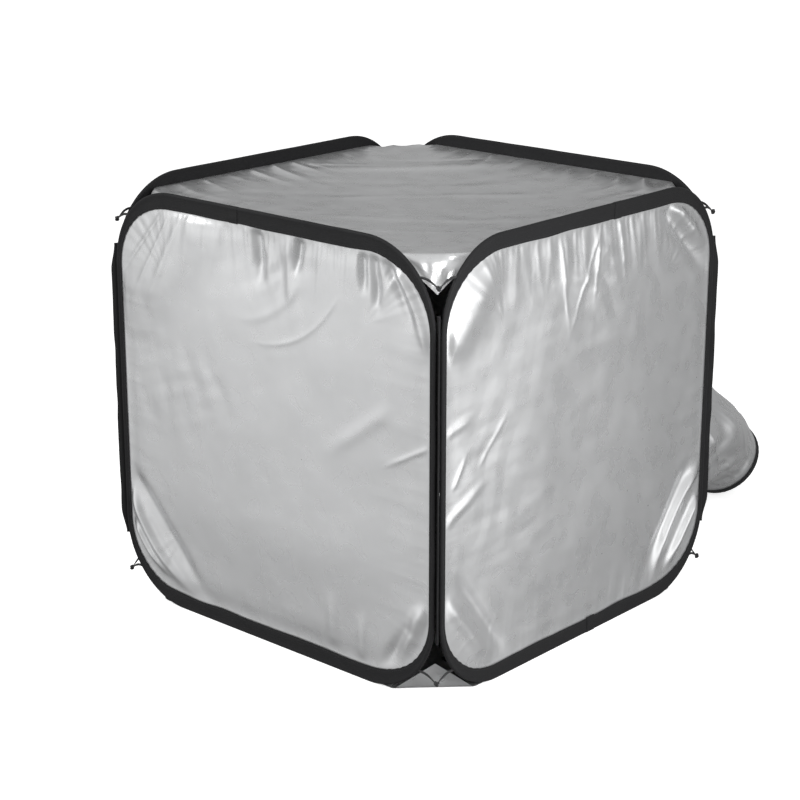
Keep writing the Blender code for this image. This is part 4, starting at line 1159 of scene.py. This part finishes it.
def sleeve_wrinkles(share, turn, seed):
    """Fine relief: crossing creases that follow the tube, and gathers at the seam and at the hem."""
    length = share * SLEEVE_LENGTH
    girth = (turn + math.pi / 2) % (2 * math.pi) * MEAN_RADIUS
    ends = np.sin(math.pi * np.clip(share, 0, 1)) ** 0.5
    ring = np.cos(turn) * 1.7 + 3.0
    other = np.sin(turn) * 1.7 + 3.0
    soft = 0.0060 * soft_noise(ring + 5 * share, other + 3 * share, seed)
    soft = soft + 0.0035 * soft_noise(2.3 * ring + 9 * share, 2.3 * other - 7 * share, seed + 1)
    crossing = soft_noise(2.1 * ring + 4 * share, 2.1 * other + 9 * share, seed + 2)
    creases = 0.0040 * (1 - np.abs(crossing)) ** 4
    hem = gathers(girth, (1 - share) * SLEEVE_LENGTH, 0.024, 0.060, 0.0042, seed + 3)
    seam = gathers(girth, length, 0.030, 0.050, 0.0030, seed + 4)
    facet = 0.7 * facets(girth, length, seed + 5, [])
    gathered = ramp(1 - share, 0.03, 0.10) * hem + ramp(share, 0, 0.05) * seam
    return ends * (soft + creases + facet - 0.001) + gathered


print("the sleeve narrows from", round(SLEEVE_RADIUS, 4), "to", MOUTH_RADIUS, "m in radius")

# %% Sleeve
SLEEVE_ROWS, SLEEVE_SIDES = 132, 220


def full_turn(sides):
    """Equal angles once round, without repeating the first."""
    return np.linspace(0, 2 * math.pi, sides, endpoint=False)


def make_sleeve():
    """The drooping tube of cloth. It runs smooth into its hem."""
    share = np.linspace(0, 1, SLEEVE_ROWS)[:, None] * np.ones((1, SLEEVE_SIDES))
    turn = np.ones((SLEEVE_ROWS, 1)) * full_turn(SLEEVE_SIDES)[None, :]
    held = 1 - ramp(share, 1 - 2.2 * STRAIGHT, 1 - 1.1 * STRAIGHT)
    rings = sleeve_rings(share, turn, sleeve_wrinkles(share, turn, 601) * held)
    faces = ring_faces(SLEEVE_ROWS, SLEEVE_SIDES, False)[:, ::-1]
    piece = new_piece("sleeve_cloth", rings.reshape(-1, 3), faces, FINISHES["silver_cloth"])
    settle(piece, "back", "silver_cloth", "vent_sleeve")
    print(piece.name, len(piece.data.polygons), "faces")


make_sleeve()

# %% Collar
COLLAR_SIDES = 200
CLOSING, CLOSING_RUN = 6.0, 0.2832     # from this turn on, the collar's swell leads back to its start


def round_sleeve(radius, turn, t):
    """A ring on the back wall, round the middle of the sleeve."""
    return on_wall("back", SLEEVE_U + radius * np.cos(turn), SLEEVE_V + radius * np.sin(turn), t)


def make_collar():
    """The ring of tape over the sleeve's seam, with a row of stitches along each edge."""
    turn = full_turn(COLLAR_SIDES)
    inner = HOLE_RADIUS + 0.0002
    swell = 0.0004 + 0.0003 * soft_noise(turn * 12, turn * 0, 621)
    left = (2 * math.pi - turn) / CLOSING_RUN
    swell = np.where(turn < CLOSING, swell, swell[0] + (swell - swell[0]) * left)
    section = [(0, 0), (0.5, 0), (1, 0), (1, 0.8), (0.92, 1),
               (0.7, 1.2), (0.5, 1.3), (0.3, 1.2), (0.08, 1), (0, 0.8)]
    rings = []
    for along, height in section:
        lift = CLOTH / 2 + CLEARANCE + TAPE * min(height, 1) + swell * max(height - 1, 0) * 3
        rings.append(round_sleeve(inner + COLLAR_WIDTH * along, turn, lift))
    piece = loft("sleeve_collar_tape", np.stack(rings, axis=0), FINISHES["black_tape"], closed=True)
    settle(piece, "back", "black_tape", "sleeve_collar")
    around = np.linspace(0, 2 * math.pi, 400)
    centre = on_wall("back", 0 * around, 0 * around, 0.0)
    ahead = on_wall("back", -np.sin(around), np.cos(around), 0.0) - centre
    outward = on_wall("back", 0 * around, 0 * around, 1.0) - centre
    for label, share in (("inner", 0.16), ("outer", 0.84)):
        places = round_sleeve(inner + COLLAR_WIDTH * share, around, CLOTH / 2 + CLEARANCE + TAPE)
        make_stitches(f"sleeve_collar_{label}_stitches", places, ahead, outward, "back")
    print(piece.name, len(piece.data.polygons), "faces")


make_collar()

# %% Hem
HEM_SIDES = 240
HEM_RUFFLES = 44


def make_hem():
    """The tape folded over the elastic, drawn into small ruffles."""
    turn = full_turn(HEM_SIDES)[None, :]
    before = sleeve_rings(np.full_like(turn, 1 - STRAIGHT), turn, 0.0)[0]
    end = sleeve_rings(np.ones_like(turn), turn, 0.0)[0]
    back = unit(before - end)
    round_way = np.roll(end, -1, axis=0) - np.roll(end, 1, axis=0)
    out = unit(np.cross(round_way, back))
    place = end - back * (ELASTIC_RADIUS + 2 * CLEARANCE)
    waves = np.sin(HEM_RUFFLES * turn[0]) * (0.6 + 0.4 * np.sin(5 * turn[0] + 1))
    reach = CUFF_REACH + 0.0006 * waves
    s, t = tape_profile(reach, ELASTIC_RADIUS + CLEARANCE, 0.0002 * (1 + waves), 0.0005 * (1 + waves))
    rings = place[:, None] + back[:, None] * s[..., None] + out[:, None] * t[..., None]
    piece = loft("sleeve_hem_tape", rings, FINISHES["black_tape"], closed=True)
    settle(piece, "back", "black_tape", "sleeve_cuff")
    print(piece.name, len(piece.data.polygons), "faces")


make_hem()

# %% [markdown]
# ## The door
# The door is a flap of cloth between two zips, hung from a taped seam and weighted by a taped hem. Each
# zip is a woven tape with a nylon coil sewn along its edge, so the coil is a real helix and the tape a thin
# lofted strip. Door pieces ride on the door's body, and the other half of each zip rides on the left wall.

# %% Door cloth
DOOR_GRID = 0.0036
DOOR_SWELL = 0.0030


def make_door_cloth():
    """The flap: flat under its tapes, gathered along them and slightly swollen in the middle."""
    half = DOOR_HALF - ZIP_GAP / 2 - CLEARANCE

    def inside(u, v):
        return np.minimum(half - np.abs(u), np.minimum(v - DOOR_SILL, DOOR_TOP - CLEARANCE - v))

    u, v, faces = cloth_grid((-half, DOOR_SILL), (half, DOOR_TOP - CLEARANCE), DOOR_GRID, inside)
    side = half - np.abs(u) - ZIP_TAPE
    hem = v - DOOR_SILL - DOOR_TAPE
    seam = DOOR_TOP - v
    free = ramp(side, 0, 0.05) * ramp(hem, 0, 0.05) * ramp(seam, 0, 0.04)
    t = DOOR_SWELL * free
    t = t + gathers(v, side, 0.034, 0.030, 0.0014, 701) * ramp(hem, 0, 0.02) * ramp(seam, 0, 0.02)
    t = t + gathers(u, seam, 0.028, 0.060, 0.0018, 702) * ramp(side, 0, 0.02)
    t = t + gathers(u, hem, 0.031, 0.040, 0.0014, 703) * ramp(side, 0, 0.02)
    t = t + free * (0.0022 * soft_noise(u / 0.14, v / 0.14, 704) + facets(u, v, 705, []))
    t = np.where((side < 0) | (hem < 0), 0.0, t)
    piece = new_piece("door_cloth", on_wall("left", u, v, t), faces, FINISHES["silver_cloth"])
    settle(piece, "door", "silver_cloth", "door_flap")
    print(piece.name, len(faces), "faces")


make_door_cloth()


# %% Strips and coils
STRIP_EDGE = 0.0006        # the rounded edge of a flat tape
COIL_STEPS = 8             # points in each turn of a coil


def strip_rings(places, across, out, low, high, thickness, seed):
    """Rings of a flat tape along a path: across and out are its two directions."""
    length = np.linspace(0, 1, len(places)) * np.linalg.norm(places[-1] - places[0])
    swell = 0.00018 * (1 + soft_noise(length / 0.020, length * 0, seed))
    section = [(low, 0), (low, 0.7), (low + STRIP_EDGE, 1), ((low + high) / 2, 1),
               (high - STRIP_EDGE, 1), (high, 0.7), (high, 0)]
    rings = []
    for place, rise in zip(places, swell):
        ring = []
        for along, share in section:
            lift = thickness * share + (rise if share == 1 else 0)
            ring.append(place + across * along + out * lift)
        rings.append(ring)
    return np.array(rings)


def coil_rings(start, end, across, out, radius, wire, pitch, phase):
    """A helix from start to end, as rings of a thin round wire."""
    run = end - start
    length = np.linalg.norm(run)
    steps = round(length / pitch * COIL_STEPS)
    share = np.linspace(0, 1, steps)
    turn = share * length / pitch * 2 * math.pi + phase
    circle = np.outer(np.cos(turn), across) + np.outer(np.sin(turn), out)
    path = start + np.outer(share, run) + radius * circle
    return tube_rings(path, wire, sides=5, up=run / length + np.array([0.013, 0.007, 0.0]))


print("strip and coil helpers ready")

# %% Zips
STRIP_STEPS = 110
COIL_RADIUS, COIL_WIRE, COIL_PITCH = 0.00062, 0.00028, 0.0019
COIL_END = 0.001           # the coil stops this far from the ends of its tape
ZIP_STITCH_GAP = 0.0034
ZIP_STITCH_SIZE = (0.0022, 0.0005, 0.0003)
ZIP_STITCH_ROW = 0.0042    # from the middle of the zip to its stitches
LEFT_OUT = np.array([-1.0, 0.0, 0.0])
LEFT_ALONG = np.array([0.0, -1.0, 0.0])
TAPE_FACE = CLOTH / 2 + CLEARANCE


def make_zip_half(name, side, owner, way, body):
    """One half of a zip: its tape, the coil along its edge and a row of stitches."""
    low = DOOR_SILL if owner == "wall" else DOOR_SILL + CLEARANCE
    high = DOOR_TOP - (0.0 if owner == "wall" else 2 * CLEARANCE)
    levels = np.linspace(low, high, STRIP_STEPS)
    one = np.ones(STRIP_STEPS)
    places = on_wall("left", side * DOOR_HALF * one, levels, TAPE_FACE * one)
    edges = sorted((way * CLEARANCE, way * ZIP_TAPE))
    rings = strip_rings(places, LEFT_ALONG, LEFT_OUT, *edges, TAPE, 720 + 3 * side)
    piece = loft(f"{name}_zip_{owner}_half", rings, FINISHES["black_tape"])
    settle(piece, body, "black_tape", f"{name}_zip_{owner}_tape")
    middle = LEFT_ALONG * way * (CLEARANCE + ZIP_COIL / 2) + LEFT_OUT * (TAPE + ZIP_COIL / 2)
    start, end = (on_wall("left", side * DOOR_HALF, level, TAPE_FACE) + middle
                  for level in (low + COIL_END, high - COIL_END))
    phase = 0.0 if way > 0 else math.pi
    coil = coil_rings(start, end, LEFT_ALONG, LEFT_OUT, COIL_RADIUS, COIL_WIRE, COIL_PITCH, phase)
    turns = loft(f"{name}_zip_{owner}_coil", coil, FINISHES["coil"])
    settle(turns, body, "coil")
    row = places + LEFT_ALONG * way * ZIP_STITCH_ROW + LEFT_OUT * (TAPE + 0.0001)
    upward, outward = (np.tile(direction, (STRIP_STEPS, 1)) for direction in (UP, LEFT_OUT))
    make_stitches(f"{name}_zip_{owner}_stitches", row, upward, outward, body,
                  gap=ZIP_STITCH_GAP, size=ZIP_STITCH_SIZE)
    print(piece.name, "with", len(turns.data.polygons), "coil faces")


def make_zips():
    """Both zips: one half of each rides on the wall and the other on the door."""
    for name, side in (("rear", -1), ("front", 1)):
        for owner, way, body in (("wall", side, "left"), ("door", -side, "door")):
            make_zip_half(name, side, owner, way, body)


make_zips()

# %% Door tapes
HEM_STEPS = 120


def make_door_tapes():
    """The taped seam above the door and the taped hem below, each with two rows of stitches."""
    half = DOOR_HALF - ZIP_TAPE - CLEARANCE
    rows = [("door_header", DOOR_TOP + 2 * CLEARANCE, DOOR_TOP + DOOR_TAPE, DOOR_HALF, "left"),
            ("door_hem", DOOR_SILL, DOOR_SILL + DOOR_TAPE, half, "door")]
    for name, low, high, reach, body in rows:
        u = np.linspace(-reach, reach, HEM_STEPS)
        one = np.ones(HEM_STEPS)
        places = on_wall("left", u, (low + high) / 2 * one, TAPE_FACE * one)
        wide = (high - low) / 2
        rings = strip_rings(places, UP, LEFT_OUT, -wide, wide, TAPE, 740 + round(low * 100))
        piece = loft(name + "_strip", rings, FINISHES["black_tape"])
        settle(piece, body, "black_tape", name + "_tape")
        for label, share in (("low", -0.72), ("high", 0.72)):
            row = places + UP * wide * share + LEFT_OUT * (TAPE + 0.0002)
            make_stitches(f"{name}_{label}_stitches", row, np.tile(LEFT_ALONG, (HEM_STEPS, 1)),
                          np.tile(LEFT_OUT, (HEM_STEPS, 1)), body)
        print(piece.name, len(piece.data.polygons), "faces")


make_door_tapes()

# %% [markdown]
# ## Pieces whose solids are right already
# Wire, ferrules, elastic, sliders and pulls already have their true shape. They keep their solids and get
# a finish and, on the cast pieces, a small bevel so that their edges catch the light.

# %% Finishes on the kept solids
BEVEL_WIDTH = 0.00018
BEVEL_ANGLE = math.radians(35)


def dress_kept_solids():
    """A finish for each solid that no dressed piece stands for."""
    slots = {row["node"]: row["material_slot"] for row in frame["record"]["subparts"]}
    for node, thing in frame["nodes"].items():
        if thing.hide_render:
            continue
        thing.data.materials.clear()
        thing.data.materials.append(FINISHES[slots[node]])
        if slots[node] == "zip_metal":
            edge = thing.modifiers.new("soft_edges", "BEVEL")
            edge.width = BEVEL_WIDTH
            edge.segments = 2
            edge.limit_method = "ANGLE"
            edge.angle_limit = BEVEL_ANGLE
        print("kept", node, "as", slots[node])


dress_kept_solids()

# %% [markdown]
# ## Floor, light and camera
# A satin metal cloth shows what surrounds it, so the studio matters as much as the finish. The sky is a
# soft dome with a broad bright patch beside each of the two nearest walls, like large cloth lamps, and
# fainter ones above and behind. The camera stands where a person would, a little above the tent and facing
# its nearest upright edge.

# %% Studio floor
FLOOR_REACH, GROUND_GAP = 30.0, 0.0002
FLOOR_SEEN, FLOOR_UNSEEN = (0.95, 0.95, 0.95, 1.0), (0.42, 0.42, 0.42, 1.0)
FLOOR_GLOW = 0.60


def make_floor_finish():
    """Pale floor, nearly white to the lens. The cloth's gloss looks through it to the studio's lower half."""
    made = finish("studio_floor", (0.90, 0.90, 0.90), 0.75)
    tree = made.node_tree
    shader = tree.nodes["Principled BSDF"]
    seen = tree.nodes.new("ShaderNodeLightPath").outputs["Is Camera Ray"]
    mix = tree.nodes.new("ShaderNodeMix")
    mix.data_type = "RGBA"
    tree.links.new(seen, mix.inputs["Factor"])
    mix.inputs["A"].default_value = FLOOR_UNSEEN
    mix.inputs["B"].default_value = FLOOR_SEEN
    tree.links.new(mix.outputs["Result"], shader.inputs["Base Color"])
    shader.inputs["Emission Color"].default_value = (1, 1, 1, 1)
    tree.links.new(math_node(tree, "MULTIPLY", seen, FLOOR_GLOW), shader.inputs["Emission Strength"])
    clear = tree.nodes.new("ShaderNodeBsdfTransparent")
    choose = tree.nodes.new("ShaderNodeMixShader")
    tree.links.new(tree.nodes.new("ShaderNodeLightPath").outputs["Is Glossy Ray"], choose.inputs["Fac"])
    tree.links.new(shader.outputs["BSDF"], choose.inputs[1])
    tree.links.new(clear.outputs["BSDF"], choose.inputs[2])
    tree.links.new(choose.outputs["Shader"], tree.nodes["Material Output"].inputs["Surface"])
    return made


def make_floor_plane():
    """A wide plane just under the tent."""
    mesh = bpy.data.meshes.new("studio_floor")
    reach = FLOOR_REACH
    mesh.from_pydata([(-reach, -reach, 0), (reach, -reach, 0), (reach, reach, 0), (-reach, reach, 0)], [],
                     [(0, 1, 2, 3)])
    mesh.materials.append(make_floor_finish())
    plane = link_mesh("studio_floor", mesh)
    plane.location.z = -GROUND_GAP


make_floor_plane()
print("floor reaches", FLOOR_REACH, "m to each side")

# %% Sky and lamps
SKY_BASE = 0.23
SKY_PATCHES = [
    ((-0.62, -0.70, 0.10), 6.0, 1.05),
    ((0.98, 0.18, -0.10), 10.0, 2.0),
    ((0.60, 0.10, 0.80), 4.0, 0.45),
    ((0.00, 0.00, 1.00), 3.0, 0.25),
    ((-0.50, 0.55, 0.67), 30.0, 0.35),
    ((-0.25, 0.95, 0.05), 7.0, 0.20),
]


def make_sky(base, patches):
    """A dome of light, white to the lens: a base, and patches of (direction, sharpness, strength)."""
    world = bpy.data.worlds.new("studio_sky")
    bpy.context.scene.world = world
    world.use_nodes = True
    tree = world.node_tree
    way = tree.nodes.new("ShaderNodeTexCoord").outputs["Generated"]
    total = base
    for direction, sharpness, strength in patches:
        dot = tree.nodes.new("ShaderNodeVectorMath")
        dot.operation = "DOT_PRODUCT"
        tree.links.new(way, dot.inputs[0])
        dot.inputs[1].default_value = Vector(direction).normalized()
        facing = math_node(tree, "MAXIMUM", dot.outputs["Value"], 0.0)
        glow = math_node(tree, "MULTIPLY", math_node(tree, "POWER", facing, sharpness), strength)
        total = math_node(tree, "ADD", glow, total)
    seen = tree.nodes.new("ShaderNodeLightPath").outputs["Is Camera Ray"]
    light = math_node(tree, "MULTIPLY", total, math_node(tree, "SUBTRACT", 1.0, seen))
    tree.links.new(math_node(tree, "ADD", light, seen), tree.nodes["Background"].inputs["Strength"])
    tree.nodes["Background"].inputs["Color"].default_value = (1, 1, 1, 1)


def make_lamp(name, place, target, size, power):
    """A square cloth lamp that faces its target."""
    light = bpy.data.lights.new(name, "AREA")
    light.energy = power
    light.size = size
    lamp = bpy.data.objects.new(name, light)
    lamp.location = place
    lamp.rotation_euler = (Vector(target) - Vector(place)).to_track_quat("-Z", "Y").to_euler()
    bpy.context.scene.collection.objects.link(lamp)


make_sky(SKY_BASE, SKY_PATCHES)
make_lamp("front_lamp", (-0.9, -1.7, 1.9), (-0.05, -0.35, 0.55), 1.3, 30)
make_lamp("side_lamp", (1.3, -0.60, 0.80), (0.35, -0.22, 0.45), 0.6, 16)
print("sky of", len(SKY_PATCHES), "patches, and two lamps")


# %% Camera
def make_camera():
    """The lens, at its angle round the tent and above it, and aimed a little off the middle."""
    azimuth, elevation = math.radians(41.906), math.radians(17.477)
    distance, focal_pixels, frame_pixels = 3.370, 2018.0, 800.0
    back = Vector((math.sin(azimuth) * math.cos(elevation), -math.cos(azimuth) * math.cos(elevation),
                   math.sin(elevation)))
    right = Vector((math.cos(azimuth), math.sin(azimuth), 0))
    up = back.cross(right)
    target = Vector((0, 0, 0.33)) - right * 0.0282 - up * 0.0046
    lens = bpy.data.cameras.new("studio_camera")
    lens.sensor_width = 36.0
    lens.lens = lens.sensor_width * focal_pixels / frame_pixels
    camera = bpy.data.objects.new("studio_camera", lens)
    turn = Matrix((right, up, back)).transposed().to_4x4()
    camera.matrix_world = Matrix.Translation(target + back * distance) @ turn
    bpy.context.scene.collection.objects.link(camera)
    bpy.context.scene.camera = camera


make_camera()
bpy.context.scene.view_settings.view_transform = "Standard"
print("camera at", [round(value, 3) for value in bpy.context.scene.camera.location])
